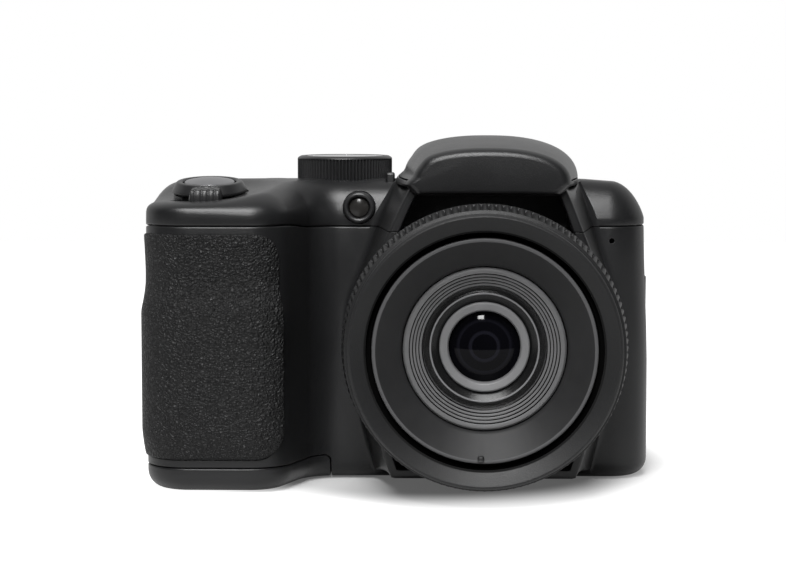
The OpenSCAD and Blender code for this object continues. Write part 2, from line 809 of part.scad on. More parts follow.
module lens_base() {
    bulkhead = base_s + bulkhead_t;
    aperture = 7.5;
    color("#141516") difference() {
        union() {
            turned([[aperture, base_s], [tube_r, base_s], [tube_r, tube_front], [tube_in, tube_front],
                [tube_in, bulkhead], [aperture, bulkhead]]);
            for (a = ear_angles) on_lens() translate(concat(polar(ear_at, a), [base_s]))
                cylinder(h = bulkhead_t, r = ear_r);
        }
        on_lens(drive_x, drive_z) cylinder(h = band_front + 1, r = pinion_r + 1.2);
        filter_plate(0.05, filter_t);
        lens_screw_shanks(0.05);
        rods(0);
    }
}

module lens_screw_shanks(gap) {
    for (a = ear_angles) on_lens() translate(concat(polar(ear_at, a), [chassis_s - 1.5]))
        cylinder(h = bulkhead_t + chassis_t + 1.5 + 0.1, r = 0.8 + gap);
}

// Three screws of the lens and the screws of the base, the latter with crossed slots
module screws() {
    color("dimgray") {
        lens_screw_shanks(0);
        for (a = ear_angles) on_lens() translate(concat(polar(ear_at, a), [base_s + bulkhead_t]))
            cylinder(h = 0.9, r = 1.6);
        for (p = screws_base) translate([p[0], p[1], 0.2]) {
            difference() {
                cylinder(h = screw_head_t, r = screw_head_d / 2);
                for (a = [0, 90]) rotate([0, 0, a]) cube([2.4, 0.5, 0.9], center = true);
            }
            translate([0, 0, screw_head_t / 2]) cylinder(h = screw_l - screw_head_t / 2, r = screw_d / 2);
        }
    }
}

module lens_ring() {
    bore = tube_r + 0.1;
    lip = barrel_r + 0.9;
    core = ring_r - 0.6;
    knurl_end = ring_front - 3.2;
    color("#17181a") {
        turned([[bore, ring_back], [core, ring_back], [core, knurl_end], [ring_r, knurl_end + 0.3],
            [ring_r, ring_front - 0.6], [ring_r - 0.6, ring_front], [lip + 0.6, ring_front - 1.4],
            [lip, ring_front - 2], [lip, tube_front + 0.2], [bore, tube_front + 0.2]]);
        on_lens() translate([0, 0, ring_back]) linear_extrude(knurl_end - ring_back) difference() {
            polygon([for (i = [0:2 * ring_teeth - 1])
                polar(ring_r + (i % 2 == 0 ? ring_tooth : -0.1), 180 * i / ring_teeth)]);
            circle(r = ring_r - 1.2);
        }
    }
}

module cam_ring() {
    root = root_of(gear_r);
    pitch = 360 / cam_teeth;
    rack = concat([for (i = [rack_last:-1:rack_first]) each tooth(gear_r, cam_teeth, i * pitch)],
        [for (i = [rack_first:rack_last]) polar(root - band_wall / 2, i * pitch)]);
    color("#8f9296") {
        turned([[root - band_wall, band_back], [root, band_back], [root, band_front], [cam_out, band_front],
            [cam_out, tube_front - 1], [cam_in, tube_front - 1], [cam_in, band_front + 1],
            [root - band_wall, band_front]]);
        on_lens() translate([0, 0, band_back]) linear_extrude(band_l - 0.5) polygon(rack);
    }
}

module drive_pinion() {
    s0 = band_back + 0.4;
    s1 = s0 + band_l - 1;
    root = root_of(pinion_r);
    color("gainsboro") on_lens(drive_x, drive_z) {
        rotate_extrude() polygon([[0, 3], [shaft_r, 3], [shaft_r, s0], [root, s0], [root, s1], [0, s1]]);
        translate([0, 0, s0 + 0.1]) linear_extrude(s1 - s0 - 0.2) polygon([for (i = [pinion_teeth - 1:-1:0])
            each tooth(pinion_r, pinion_teeth, drive_angle + 180 + i * 360 / pinion_teeth)]);
    }
}

module zoom_motor() {
    color("silver") on_lens(drive_x, drive_z) difference() {
        translate([0, 0, motor_front - motor_l]) cylinder(h = motor_l, r = motor_r);
        translate([0, 0, 2.5]) cylinder(h = motor_l, r = shaft_r + 0.05);
    }
}

module guide_rods() {
    color("silver") rods(0);
}

module rods(gap) {
    for (a = [60, 240]) on_lens() translate(concat(polar(rod_at, a), [rod_start]))
        cylinder(h = rod_end - rod_start, r = rod_d / 2 + gap);
}

// Conical bezel in front, an outer wall and an inner guide for the inner barrel
module zoom_barrel() {
    guide = inner_r + tube_fit;
    cone_back = inner_front_s + 0.4;
    skirt = barrel_r - tube_wall;
    color("#1d1e20") turned([[skirt, barrel_back], [barrel_r, barrel_back], [barrel_r, barrel_front - 0.3],
        [barrel_r - 0.3, barrel_front], [barrel_r - 0.9, barrel_front], [guide + 0.3, cone_back],
        [guide, cone_back - 0.4], [guide, inner_back + 4], [guide + tube_wall, inner_back + 4],
        [guide + tube_wall, cone_back - 2.2], [skirt, barrel_front - 2.6]]);
}

// Tube with a ridged baffle in front and a cell for the front glass
module inner_barrel() {
    cell_r = glass_r + 1.3;
    seat_r = glass_r + 2.05;
    bore = inner_r - tube_wall;
    s = inner_front_s;
    ridge_w = (inner_r - 0.8 - baffle_r) / ridges;
    steps = [for (i = [0:ridges - 1]) for (k = [0, 1])
        [inner_r - 0.8 - (i + k) * ridge_w, s - ridge_drop * i - (k == 0 ? 0 : 0.1)]];
    shell = [[bore, inner_back], [inner_r, inner_back], [inner_r, s - 0.4], [inner_r - 0.4, s]];
    groove = [[baffle_r - 0.1, s - 4.4], [baffle_r - 1.4, s - 4.4], [baffle_r - 1.4, s - 3],
        [baffle_r - 1.8, s - 3]];
    seat = [[seat_r, s - 4.6], [seat_r, s - 6.6], [cell_r, s - 6.6], [cell_r, cell_front],
        [bore, cell_front]];
    color("#151617") turned(concat(shell, steps, groove, seat));
}

module front_retainer() {
    s = inner_front_s;
    color("#6c6e72") turned([[glass_r, s - 6.5], [glass_r + 2, s - 6.5], [glass_r + 2, s - 4],
        [glass_r + 1.7, s - 3.7], [glass_r + 0.3, s - 3.9], [glass_r, s - 4.4]]);
}

module front_glass() {
    s = inner_front_s - 7;
    rim = glass_r + 1.2;
    crown = 1.6;
    dome_r = (rim * rim + crown * crown) / (2 * crown);
    color("#20242c") on_lens() intersection() {
        translate([0, 0, s + crown - dome_r]) sphere(r = dome_r);
        translate([0, 0, s - 2.6]) cylinder(h = 6, r = rim);
    }
}

// Disc that runs on the guide rods and holds a lens of its own
module rod_group(s, t, lens_r) {
    difference() {
        on_lens() translate([0, 0, s]) cylinder(h = t, r = group_r);
        rods(0.05);
        on_lens() translate([0, 0, s + 1]) cylinder(h = t, r = lens_r);
    }
}

module variator_group() {
    color("#3a3d42") rod_group(variator_s, variator_t, 9);
}

module focus_group() {
    color("#3a3d42") rod_group(focus_s, focus_t, 7);
}

// Outline of the box round the cells
module cells_outline(r) {
    hull() for (i = [0, 1]) for (j = [0, 1]) translate([cell_x + i * cell_pitch, cell_y + j * cell_pitch])
        circle(r = r, $fn = 32);
}

module battery_box() {
    low = cell_z + 1;
    color("#30343a") difference() {
        translate([0, 0, low]) linear_extrude(box_top + box_cap - low) cells_outline(box_r);
        translate([0, 0, low - 1]) linear_extrude(box_top + 1 - low) cells_outline(box_r - box_wall);
    }
}

// One cell standing on its flat end, or on its nub
module cell(up) {
    translate([0, 0, up ? 0 : cell_l]) mirror([0, 0, up ? 0 : 1]) {
        cylinder(h = cell_l - 1, r = cell_d / 2);
        translate([0, 0, cell_l - 1.1]) cylinder(h = 1.1, r = 2.7);
    }
}

module aa_cells() {
    color("#b08d57") for (i = [0, 1]) for (j = [0, 1])
        translate([cell_x + i * cell_pitch, cell_y + j * cell_pitch, cell_z]) cell((i + j) % 2 == 0);
}

module contact_springs() {
    wire = 0.35;
    room = box_top - cell_z - cell_l - 2 * wire - 0.4;
    turns = 4;
    color("silver") for (i = [0, 1])
        translate([cell_x + i * cell_pitch, cell_y + (1 - i) * cell_pitch, cell_z + cell_l + wire + 0.1])
            coil(4.2, 2.6, room / turns, turns, wire);
}

module battery_door() {
    color("#1c1d1e") difference() {
        union() {
            difference() {
                intersection() {
                    lower_form(0, seam_h);
                    between([-far, -far, -1], [door_x, far, door_h - door_gap]);
                }
                lower_form(wall, seam_h);
            }
            along_y(front + 6, rear - 4, door_pin_x, door_pin_z, door_knuckle_r);
        }
        difference() {
            between([door_pin_x, -far, -1], [far, far, door_pin_z]);
            along_y(-far, far, door_pin_x, door_pin_z, door_knuckle_r);
        }
        for (y = hinge_at)
            between([door_pin_x - 2, y - hinge_l / 2 - lug_fit, -1], [far, y + hinge_l / 2 + lug_fit, far]);
        along_y(-far, far, door_pin_x, door_pin_z, door_pin_d / 2 + 0.05);
        latch_slot();
    }
}

module latch_slot() {
    half = latch_size / 2 + [0.3, 0.3];
    neck = latch_neck / 2 + 0.3;
    between([latch_at[0] - half[0], latch_at[1] - half[1], -1],
        [latch_at[0] + half[0], latch_at[1] + half[1] + latch_travel, 1.3]);
    between([latch_at[0] - neck, latch_at[1] - neck, -1],
        [latch_at[0] + neck, latch_at[1] + neck + latch_travel, 6]);
}

// Thumb slide under the door, with its bolt above the door's floor
module door_latch() {
    half = latch_size / 2;
    neck = latch_neck / 2;
    bolt_z = wall + 0.3;
    color("#2a2b2d") translate([latch_at[0], latch_at[1], 0]) {
        difference() {
            between([-half[0], -half[1], 0.1], [half[0], half[1], 1]);
            for (i = [-2:2]) along_x(1 - half[0], half[0] - 1, 1.4 * i, 0.1, 0.35);
        }
        between([-neck, -neck, 0.9], [neck, neck, bolt_z + 0.1]);
        between([-half[0] + 1, -4, bolt_z], [half[0] - 1, 6, bolt_z + 0.9]);
    }
}

module door_contact() {
    color("silver") difference() {
        translate([0, 0, contact_z]) linear_extrude(contact_t) cells_outline(box_r - 1.8);
        translate([cell_x + cell_pitch / 2, cell_y + cell_pitch / 2, 0]) cylinder(h = 9, r = 3);
    }
}

module door_hinge_pin() {
    color("silver") along_y(hinge_at[0] - 3, hinge_at[1] + 3, door_pin_x, door_pin_z, door_pin_d / 2);
}

module card_socket() {
    gap = 0.1;
    top = card_z + card[2];
    color("lightgray") difference() {
        between([card_x - socket_wall, card_y - 1, socket_low],
            [card_x + card[0] + socket_wall, card_y + card[1] + 1, socket_top]);
        between([card_x - gap, card_y - gap, 0],
            [card_x + card[0] + gap, card_y + card[1] + gap, top + gap]);
        between([card_x + card[0] / 2, card_y + card[1] / 4, 0], [far, card_y + 0.75 * card[1], top - 4]);
    }
}

module memory_card() {
    notch = 5;
    color("#20305a") difference() {
        translate([card_x, card_y, card_z]) cube(card);
        translate([card_x - 1, card_y + card[1], card_z + card[2]]) rotate([45, 0, 0])
            cube([9, notch, notch], center = true);
    }
}

module screen_panel() {
    y = inner_rear - 0.1;
    color("#2c3036") between([screen_x - screen_w / 2 + 1, y - panel_t, screen_z - screen_h / 2 + 1],
        [screen_x + screen_w / 2 - 1, y, screen_z + screen_h / 2 - 1]);
}

module screen_window() {
    color("#0c0d10") between([screen_x - screen_w / 2, inner_rear, screen_z - screen_h / 2],
        [screen_x + screen_w / 2, rear - 0.2, screen_z + screen_h / 2]);
}

module flash_head() {
    color("#212223") difference() {
        intersection() {
            hump_form();
            head_zone(0);
        }
        difference() {
            hump_form(head_wall);
            between([-far, -far, 0], [far, nose + 0.6, far]);
            between([-far, hinge_y - knuckle_r - 1.5, 0], [far, far, far]);
        }
        along_x(-far, far, hinge_y, hinge_z, flash_pin_d / 2 + 0.05);
        along_x(-far, hump_x - ear_x, hinge_y, hinge_z, sweep_r);
        along_x(hump_x + ear_x - spring_room, far, hinge_y, hinge_z, sweep_r);
    }
}

module flash_window() {
    color("#d8dadc") between([hump_x - flash_w / 2, flash_y, part_h],
        [hump_x + flash_w / 2, flash_y + flash_l, part_h + flash_t]);
}

module flash_reflector() {
    y = flash_y + flash_l / 2;
    half = flash_w / 2;
    color("#c8c9cb") difference() {
        between([hump_x - half + 1, y - 6, part_h + flash_t],
            [hump_x + half - 1, y + 6, part_h + tube_lift + flash_tube_r + 0.5]);
        along_x(hump_x - half + 2, hump_x + half - 2, y, part_h, tube_lift + flash_tube_r + 0.1);
    }
}

module flash_tube() {
    y = flash_y + flash_l / 2;
    half = flash_w / 2 - 2.2;
    color("white") along_x(hump_x - half, hump_x + half, y, part_h + tube_lift, flash_tube_r);
}

module flash_hinge_pin() {
    color("silver") along_x(hump_x - ear_x - 4, hump_x + ear_x + 4, hinge_y, hinge_z, flash_pin_d / 2);
}

module flash_spring() {
    turns = 3;
    r = flash_pin_d / 2 + spring_wire + 0.1;
    room = spring_room - 2 * head_gap - 2 * spring_wire;
    color("silver") translate([hump_x + ear_x - spring_room + head_gap + spring_wire, hinge_y, hinge_z])
        rotate([0, 90, 0]) coil(r, r, room / turns, turns, spring_wire);
}

module flash_button() {
    color("#1a1b1c") {
        flash_key_block(0, 0, flash_key_low, deck_h + 2.4);
        flash_key_block(collar, 0, flash_key_low, flash_key_low + collar_t);
    }
}

// Stands in front of the main board, beside its far posts
module flash_capacitor() {
    at = [posts_x[1] - post_r - capacitor_r - 2, board_y - capacitor_r - 0.2, bay_low + 2];
    color("#22252c") translate(at) cylinder(h = capacitor_l, r = capacitor_r);
}

module shutter_button() {
    crown = 0.7;
    dome_r = (pow(shutter_d / 2, 2) + crown * crown) / (2 * crown);
    color("#b9bbbe") on_shutter() union() {
        intersection() {
            translate([0, 0, shutter_proud - dome_r]) sphere(r = dome_r);
            translate([0, 0, 0.6]) cylinder(h = 6, r = shutter_d / 2);
        }
        translate([0, 0, -5]) cylinder(h = 6, r = 2);
    }
}

module zoom_lever() {
    base = lever_d / 2;
    sleeve_r = lever_bore + lever_sleeve;
    color("#232425") on_shutter() difference() {
        union() {
            rotate_extrude() polygon([[lever_bore, -3], [sleeve_r, -3], [sleeve_r, 0.3], [base, 0.3],
                [base, 1], [base - 1.1, 2.9], [lever_bore, 2.9]]);
            between([-tab_w / 2, -base - tab_reach, -0.6], [tab_w / 2, -base + 1.2, 2.4]);
        }
        for (i = [-2:2]) translate([1.4 * i, -base - tab_reach, -2]) cylinder(h = 8, r = 0.4);
        translate([0, 0, -1]) cylinder(h = 6, r = lever_bore);
    }
}

module mode_dial() {
    r = dial_d / 2;
    core = r - 0.6;
    shaft = dial_shaft_d / 2;
    low = deck_h - wall - 4;
    top = dial_z + dial_h;
    color("#1e1f20") translate([dial_x, dial_y, 0]) {
        translate([0, 0, dial_z]) linear_extrude(dial_h - dial_rim)
            polygon([for (i = [0:2 * dial_ridges - 1])
                polar(r - (i % 2 == 0 ? 0 : 0.4), 180 * i / dial_ridges)]);
        rotate_extrude() polygon([[0, low], [shaft, low], [shaft, dial_z + 1], [core, dial_z + 1],
            [core, top - dial_rim + 0.2], [r - 1.2, top], [r - 1.8, top],
            [r - 1.8, top - 0.5], [0, top - 0.5]]);
    }
}

module dial_disc() {
    color("#c9cbcd") translate([dial_x, dial_y, dial_z + dial_h - 0.5])
        cylinder(h = 0.4, r = dial_d / 2 - 1.9);
}

module power_button() {
    color("#1a1b1c") top_key(power_at[0], power_at[1], power_d, 0.8);
}

module burst_button() {
    color("#1a1b1c") top_key(burst_at[0], burst_at[1], burst_d, 0.7);
}

module record_button() {
    color("#7a1f1f") rear_key(record_at[0], record_at[1], record_d, 0.6);
}

module menu_button() {
    color("#1a1b1c") rear_key(menu_at[0], menu_at[1], key_d, 0.5);
}

module play_button() {
    color("#1a1b1c") rear_key(play_at[0], play_at[1], key_d, 0.5);
}

module delete_button() {
    color("#1a1b1c") rear_key(delete_at[0], delete_at[1], key_d, 0.5);
}

module four_way_pad() {
    bore = set_d / 2 + 0.5;
    edge = pad_d / 2;
    color("#1a1b1c") translate([pad_at[0], 0, pad_at[1]]) rotate([-90, 0, 0]) rotate_extrude()
        polygon([[bore + 0.3, inner_rear - 1.3], [edge + 0.9, inner_rear - 1.3],
            [edge + 0.9, inner_rear - 0.7], [edge, inner_rear - 0.7], [edge, rear + 0.4],
            [edge - 0.5, rear + 0.9], [bore + 0.3, rear + 0.4], [bore, rear], [bore, inner_rear - 0.9]]);
}

module pad_rocker() {
    y = key_face + 0.4;
    edge = set_d / 2 + 0.4;
    color("#55585c") translate([pad_at[0], 0, pad_at[1]]) rotate([-90, 0, 0]) rotate_extrude()
        polygon([[1.6, y], [edge, y], [edge, y + 0.5], [1.6, y + 0.5]]);
}

module set_button() {
    color("#1a1b1c") {
        along_y(inner_rear - 0.7, rear + 0.6, pad_at[0], pad_at[1], set_d / 2);
        along_y(key_face + key_travel + 0.2, inner_rear, pad_at[0], pad_at[1], 1.2);
    }
}

module lamp_bezel() {
    color("#101112") difference() {
        along_y(front - 1.2, inner_front + 0.5, lamp_x, lamp_z, lamp_d / 2);
        along_y(front - 2, inner_front + 2, lamp_x, lamp_z, lamp_d / 2 - 1.3);
    }
}

module lamp_lens() {
    color("#b8b2a8") along_y(front - 0.6, inner_front, lamp_x, lamp_z, lamp_d / 2 - 1.4);
}

module strap_lugs() {
    color("silver") for (side = [-1, 1]) {
        difference() {
            along_y(lug_y - 1, lug_y + 1, lug_at(side), deck_h - lug_drop, lug_d / 2);
            along_y(lug_y - 2, lug_y + 2, lug_at(side), deck_h - lug_drop, lug_hole_d / 2);
        }
        lug_stem(side, 0);
    }
}

module tripod_bush() {
    color("silver") difference() {
        union() {
            cylinder(h = socket_l + 1, r = bush_r);
            translate([0, 0, wall + 0.05]) cylinder(h = 1.2, r = bush_r + bush_flange);
        }
        translate([0, 0, -1]) cylinder(h = socket_l + 1, r = socket_d / 2);
    }
}

module usb_socket() {
    color("silver") difference() {
        between([right - wall - 6, port_y[0] + 0.5, port_z],
            [right - wall - fit, port_y[1] - 1, port_z + port_h]);
        between([right - wall - 5, port_y[0] + 2.5, port_z + 2],
            [right, port_y[1] - 4, port_z + port_h - 2]);
    }
}

module port_cover() {
    color("#202123") {
        between([right - port_t, port_y[0], port_z], [right, port_y[1] - port_t / 2, port_z + port_h]);
        translate([right - port_t / 2, port_y[1] - port_t / 2, port_z]) cylinder(h = port_h, r = port_t / 2);
        port_pivot(0, 0.7);
    }
}

front_shell();
rear_shell();
top_cover();
grip_skin();
thumb_rest();
chassis();
circuit_boards();
image_sensor();
ir_filter();
lens_base();
lens_ring();
cam_ring();
zoom_barrel();
inner_barrel();
front_retainer();
front_glass();
variator_group();
focus_group();
guide_rods();
zoom_motor();
drive_pinion();
battery_box();
aa_cells();
contact_springs();
battery_door();
door_contact();
door_latch();
door_hinge_pin();
card_socket();
memory_card();
screen_panel();
screen_window();
flash_head();
flash_window();
flash_reflector();
flash_tube();
flash_hinge_pin();
flash_spring();
flash_button();
flash_capacitor();
shutter_button();
zoom_lever();
mode_dial();
dial_disc();
power_button();
burst_button();
record_button();
menu_button();
play_button();
delete_button();
four_way_pad();
pad_rocker();
set_button();
lamp_bezel();
lamp_lens();
strap_lugs();
tripod_bush();
usb_socket();
port_cover();
screws();
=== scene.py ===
import json
import math

import bmesh
import bpy
import numpy as np
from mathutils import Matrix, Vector


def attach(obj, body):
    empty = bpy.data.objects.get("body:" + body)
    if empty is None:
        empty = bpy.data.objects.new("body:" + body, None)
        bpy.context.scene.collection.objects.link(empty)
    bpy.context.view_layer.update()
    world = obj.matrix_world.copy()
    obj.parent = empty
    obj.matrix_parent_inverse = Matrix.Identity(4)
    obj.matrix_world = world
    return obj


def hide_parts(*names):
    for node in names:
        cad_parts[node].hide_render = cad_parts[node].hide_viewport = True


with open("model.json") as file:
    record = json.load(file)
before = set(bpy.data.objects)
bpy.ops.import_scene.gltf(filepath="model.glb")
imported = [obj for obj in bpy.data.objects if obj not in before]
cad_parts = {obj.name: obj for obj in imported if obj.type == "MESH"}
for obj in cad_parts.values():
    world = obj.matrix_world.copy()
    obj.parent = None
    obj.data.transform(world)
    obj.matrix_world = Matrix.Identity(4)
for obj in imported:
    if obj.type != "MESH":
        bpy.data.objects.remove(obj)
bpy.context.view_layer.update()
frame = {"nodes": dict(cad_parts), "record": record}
nodes = frame["nodes"]
mm = 0.001
far = 200.0
print("frame loaded:", len(nodes), "nodes")


# Every length in the mesh helpers is in millimetres

def gridFaces(rows, cols, wrapRows=False, wrapCols=False):
    # Quads of a grid of rows by columns, joined round where a direction wraps
    r, c = np.meshgrid(np.arange(rows - (not wrapRows)), np.arange(cols - (not wrapCols)), indexing="ij")
    r2, c2 = (r + 1) % rows, (c + 1) % cols
    return np.stack([r * cols + c, r * cols + c2, r2 * cols + c2, r2 * cols + c], -1).reshape(-1, 4).tolist()


def solid(points, faces):
    # A closed mesh object from points and faces, with poles merged and its faces turned outwards
    mesh = bpy.data.meshes.new("shape")
    mesh.from_pydata((np.asarray(points, float).reshape(-1, 3) * mm).tolist(), [], faces)
    shape = bmesh.new()
    shape.from_mesh(mesh)
    bmesh.ops.remove_doubles(shape, verts=shape.verts, dist=2e-6)
    bmesh.ops.recalc_face_normals(shape, faces=shape.faces)
    shape.to_mesh(mesh)
    shape.free()
    obj = bpy.data.objects.new("shape", mesh)
    bpy.context.scene.collection.objects.link(obj)
    return obj


def sheetSolid(points, wrapRows=False, wrapCols=False, caps=False):
    # A grid of points as a solid; caps closes its first and last row with one flat face each
    rows, cols = points.shape[:2]
    faces = gridFaces(rows, cols, wrapRows, wrapCols)
    if caps:
        faces += [list(range(cols)), list(range((rows - 1) * cols, rows * cols))]
    return solid(points, faces)


def carve(obj, tool, how="DIFFERENCE"):
    # Cuts, joins or intersects obj with tool, and uses tool up
    step = obj.modifiers.new("carve", "BOOLEAN")
    step.operation, step.solver, step.object = how, "MANIFOLD", tool
    bpy.context.view_layer.update()
    made = bpy.data.meshes.new_from_object(obj.evaluated_get(bpy.context.evaluated_depsgraph_get()))
    obj.modifiers.clear()
    obj.data = made
    bpy.data.objects.remove(tool)
    return obj


def cutAll(obj, *tools):
    for tool in tools:
        carve(obj, tool)


def join(obj, *tools):
    for tool in tools:
        carve(obj, tool, "UNION")
    return obj


def meet(obj, tool):
    return carve(obj, tool, "INTERSECT")


def together(first, *others):
    # Several shapes as one mesh, without cutting them
    shape = bmesh.new()
    for one in (first, *others):
        shape.from_mesh(one.data)
    shape.to_mesh(first.data)
    shape.free()
    for one in others:
        bpy.data.objects.remove(one)
    return first


def box(low, high):
    # Plain block between two corners, used for cutting
    a, b = np.array(low, float), np.array(high, float)
    corner = np.array([[x, y, z] for z in (0, 1) for y in (0, 1) for x in (0, 1)], float)
    faces = [[0, 2, 3, 1], [4, 5, 7, 6], [0, 1, 5, 4], [2, 6, 7, 3], [0, 4, 6, 2], [1, 3, 7, 5]]
    return solid(a + corner * (b - a), faces)


def softBox(low, high, r):
    # Block with all its edges rounded: a small ball split at the axes and pulled apart to the corners
    a, b = np.array(low, float), np.array(high, float)
    quarter = np.linspace(0, math.pi / 2, 7)
    round4 = np.concatenate([quarter + k * math.pi / 2 for k in range(4)])
    rise = np.concatenate([quarter - math.pi / 2, quarter])
    sx = np.repeat([1, -1, -1, 1], 7)
    sy = np.repeat([1, 1, -1, -1], 7)
    sz = np.repeat([-1, 1], 7)
    half = (b - a) / 2 - r
    x = sx * half[0] + r * np.cos(rise)[:, None] * np.cos(round4)
    y = sy * half[1] + r * np.cos(rise)[:, None] * np.sin(round4)
    z = np.broadcast_to((sz * half[2] + r * np.sin(rise))[:, None], x.shape)
    points = np.stack([x, y, z], -1) + (a + b) / 2
    return sheetSolid(points, wrapCols=True, caps=True)


def softCorners(points, radius, closed, steps=5):
    # Rounds each corner of a profile with a short curve that leaves both its sides smoothly
    p = np.asarray(points, float)
    r = np.broadcast_to(np.asarray(radius, float), (len(p),))
    before, after = np.roll(p, 1, 0) - p, np.roll(p, -1, 0) - p
    la, lb = np.linalg.norm(before, axis=1), np.linalg.norm(after, axis=1)
    cut = np.minimum(r, 0.45 * np.minimum(la, lb))
    if not closed:
        cut = np.where((np.arange(len(p)) == 0) | (np.arange(len(p)) == len(p) - 1), 0, cut)
    a = p + before / la[:, None] * cut[:, None]
    b = p + after / lb[:, None] * cut[:, None]
    t = np.linspace(0, 1, steps)[None, :, None]
    return ((1 - t) ** 2 * a[:, None] + 2 * t * (1 - t) * p[:, None] + t ** 2 * b[:, None]).reshape(-1, 2)


axes = {  # where a turned piece points: its own axis, and the direction of its zero angle
    "lens": ((0, -1, 0), (1, 0, 0)),
    "up": ((0, 0, 1), (1, 0, 0)),
    "rear": ((0, 1, 0), (1, 0, 0)),
    "across": ((1, 0, 0), (0, 1, 0)),
}


def turned(profile, origin, axis, soft=0.0, segments=128, wave=None):
    # Profile of (radius, reach) pairs carried round an axis, open if it starts on the axis and else closed on
    # itself; wave adds to the radius by angle, radius and reach
    closed = profile[0][0] > 0
    p = softCorners(profile, soft, closed)
    along, side = (np.array(v, float) for v in (axes[axis] if isinstance(axis, str) else axis))
    other = np.cross(along, side)
    angle = np.linspace(0, 2 * math.pi, segments, endpoint=False)
    r = np.repeat(p[:, :1], segments, 1)
    if wave:
        r = r + wave(angle[None, :], p[:, :1], p[:, 1:])
    ring = np.cos(angle)[:, None] * side + np.sin(angle)[:, None] * other
    points = np.array(origin, float) + r[..., None] * ring + p[:, 1][:, None, None] * along
    return sheetSolid(points, wrapRows=closed, wrapCols=True)


def drum(origin, axis, r, reach0, reach1, segments=48):
    # Plain round bar for cutting
    return turned([[0, reach0], [r, reach0], [r, reach1], [0, reach1]], origin, axis, 0, segments)


def crown(r, base, rise, points=10):
    # Profile of a shallow dome, from its rim at radius r to the axis
    t = np.linspace(1, 0, points)
    return np.stack([r * t, base + rise * (1 - t ** 2)], -1)


def glide(at, stops, values):
    # Smooth curve through the stops that never swings past them
    x, v = np.asarray(stops, float), np.asarray(values, float)
    h, d = np.diff(x), np.diff(v) / np.diff(x)
    same = d[:-1] * d[1:] > 0
    inner = np.where(same, 2 * d[:-1] * d[1:] / np.where(same, d[:-1] + d[1:], 1), 0)
    m = np.concatenate([[d[0]], inner, [d[-1]]])
    k = np.clip(np.searchsorted(x, at, "right") - 1, 0, len(h) - 1)
    t = (at - x[k]) / h[k]
    return ((2 * t**3 - 3 * t**2 + 1) * v[k] + (t**3 - 2 * t**2 + t) * h[k] * m[k]
            + (3 * t**2 - 2 * t**3) * v[k + 1] + (t**3 - t**2) * h[k] * m[k + 1])


def step01(t):
    # Smooth step from 0 to 1
    t = np.clip(t, 0, 1)
    return t * t * (3 - 2 * t)


def settle(obj, name, body, slot, stands, sharp=32):
    # Names a finished shape, smooths it up to its sharp edges and puts it on its body in place of CAD nodes
    obj.name = obj.data.name = name
    obj.data.shade_smooth()
    obj.data.set_sharp_from_angle(angle=math.radians(sharp))
    obj.data.materials.clear()
    obj.data.materials.append(looks.get(stands[0], finishes[slot]))
    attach(obj, body)
    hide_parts(*stands)
    return obj


def told(kind, obj):
    # Reports a finished piece, with the edges that do not join exactly two faces
    shape = bmesh.new()
    shape.from_mesh(obj.data)
    loose = sum(not edge.is_manifold for edge in shape.edges)
    volume = round(shape.calc_volume() * 1e9)
    print(kind, obj.name, len(obj.data.polygons), "faces", loose, "open edges", volume, "mm3")
    shape.free()


class Wire:
    # One output of a shader node: arithmetic on it adds Math nodes to its tree
    def __init__(self, tree, socket=None):
        self.tree, self.socket = tree, socket

    def node(self, kind, settings=None, values=None, out=0):
        # Adds a node: its settings first, then the values or links of its sockets
        made = self.tree.nodes.new(kind)
        for key, value in (settings or {}).items():
            setattr(made, key, value)
        for key, value in (values or {}).items():
            if isinstance(value, Wire):
                self.tree.links.new(value.socket, made.inputs[key])
            else:
                made.inputs[key].default_value = value
        return Wire(self.tree, made.outputs[out])

    def math(self, how, other=None, clamp=False):
        values = {0: self} if other is None else {0: self, 1: other}
        return self.node("ShaderNodeMath", {"operation": how, "use_clamp": clamp}, values)

    def __add__(self, other):
        return self.math("ADD", other)

    def __sub__(self, other):
        return self.math("SUBTRACT", other)

    def __rsub__(self, other):
        return (self * -1.0) + other

    def __mul__(self, other):
        return self.math("MULTIPLY", other)

    def __truediv__(self, other):
        return self.math("DIVIDE", other)

    __radd__, __rmul__ = __add__, __mul__

    def clip(self):
        return self.math("ADD", 0.0, True)

    def above(self, low, high):
        # 0 below low, 1 above high, smooth between
        return self.node("ShaderNodeMapRange", {"interpolation_type": "SMOOTHSTEP"},
                         {"Value": self, "From Min": low, "From Max": high})


def noise(place, scale, detail=2.0):
    return place.node("ShaderNodeTexNoise", {}, {"Vector": place, "Scale": scale, "Detail": detail})


def cells(place, scale):
    # Distance to the nearest wall between cells
    return place.node("ShaderNodeTexVoronoi", {"feature": "DISTANCE_TO_EDGE"},
                      {"Vector": place, "Scale": scale})


def blend(factor, first, second):
    # Mixes two colours, each of them fixed or a wire
    a, b = (end if isinstance(end, Wire) else (*end, 1) for end in (first, second))
    return factor.node("ShaderNodeMix", {"data_type": "RGBA"}, {0: factor, 6: a, 7: b}, 2)


def radiusFrom(place, x, y, z, off):
    # Distance in metres from a line through (x, y, z) mm along the axis whose index is off
    keep = [0.0 if i == off else 1.0 for i in range(3)]
    at = (x * mm, y * mm, z * mm)
    moved = place.node("ShaderNodeVectorMath", {"operation": "SUBTRACT"}, {0: place, 1: at})
    flat = place.node("ShaderNodeVectorMath", {"operation": "MULTIPLY"}, {0: moved, 1: keep})
    return place.node("ShaderNodeVectorMath", {"operation": "LENGTH"}, {0: flat}, 1)


def fromLens(place):
    return radiusFrom(place, lensAt["x"], 0, lensAt["z"], 1)


def past(r, edge):
    # 1 beyond a radius, softened between the two millimetre values of edge
    return r.above(edge[0] * mm, edge[1] * mm)


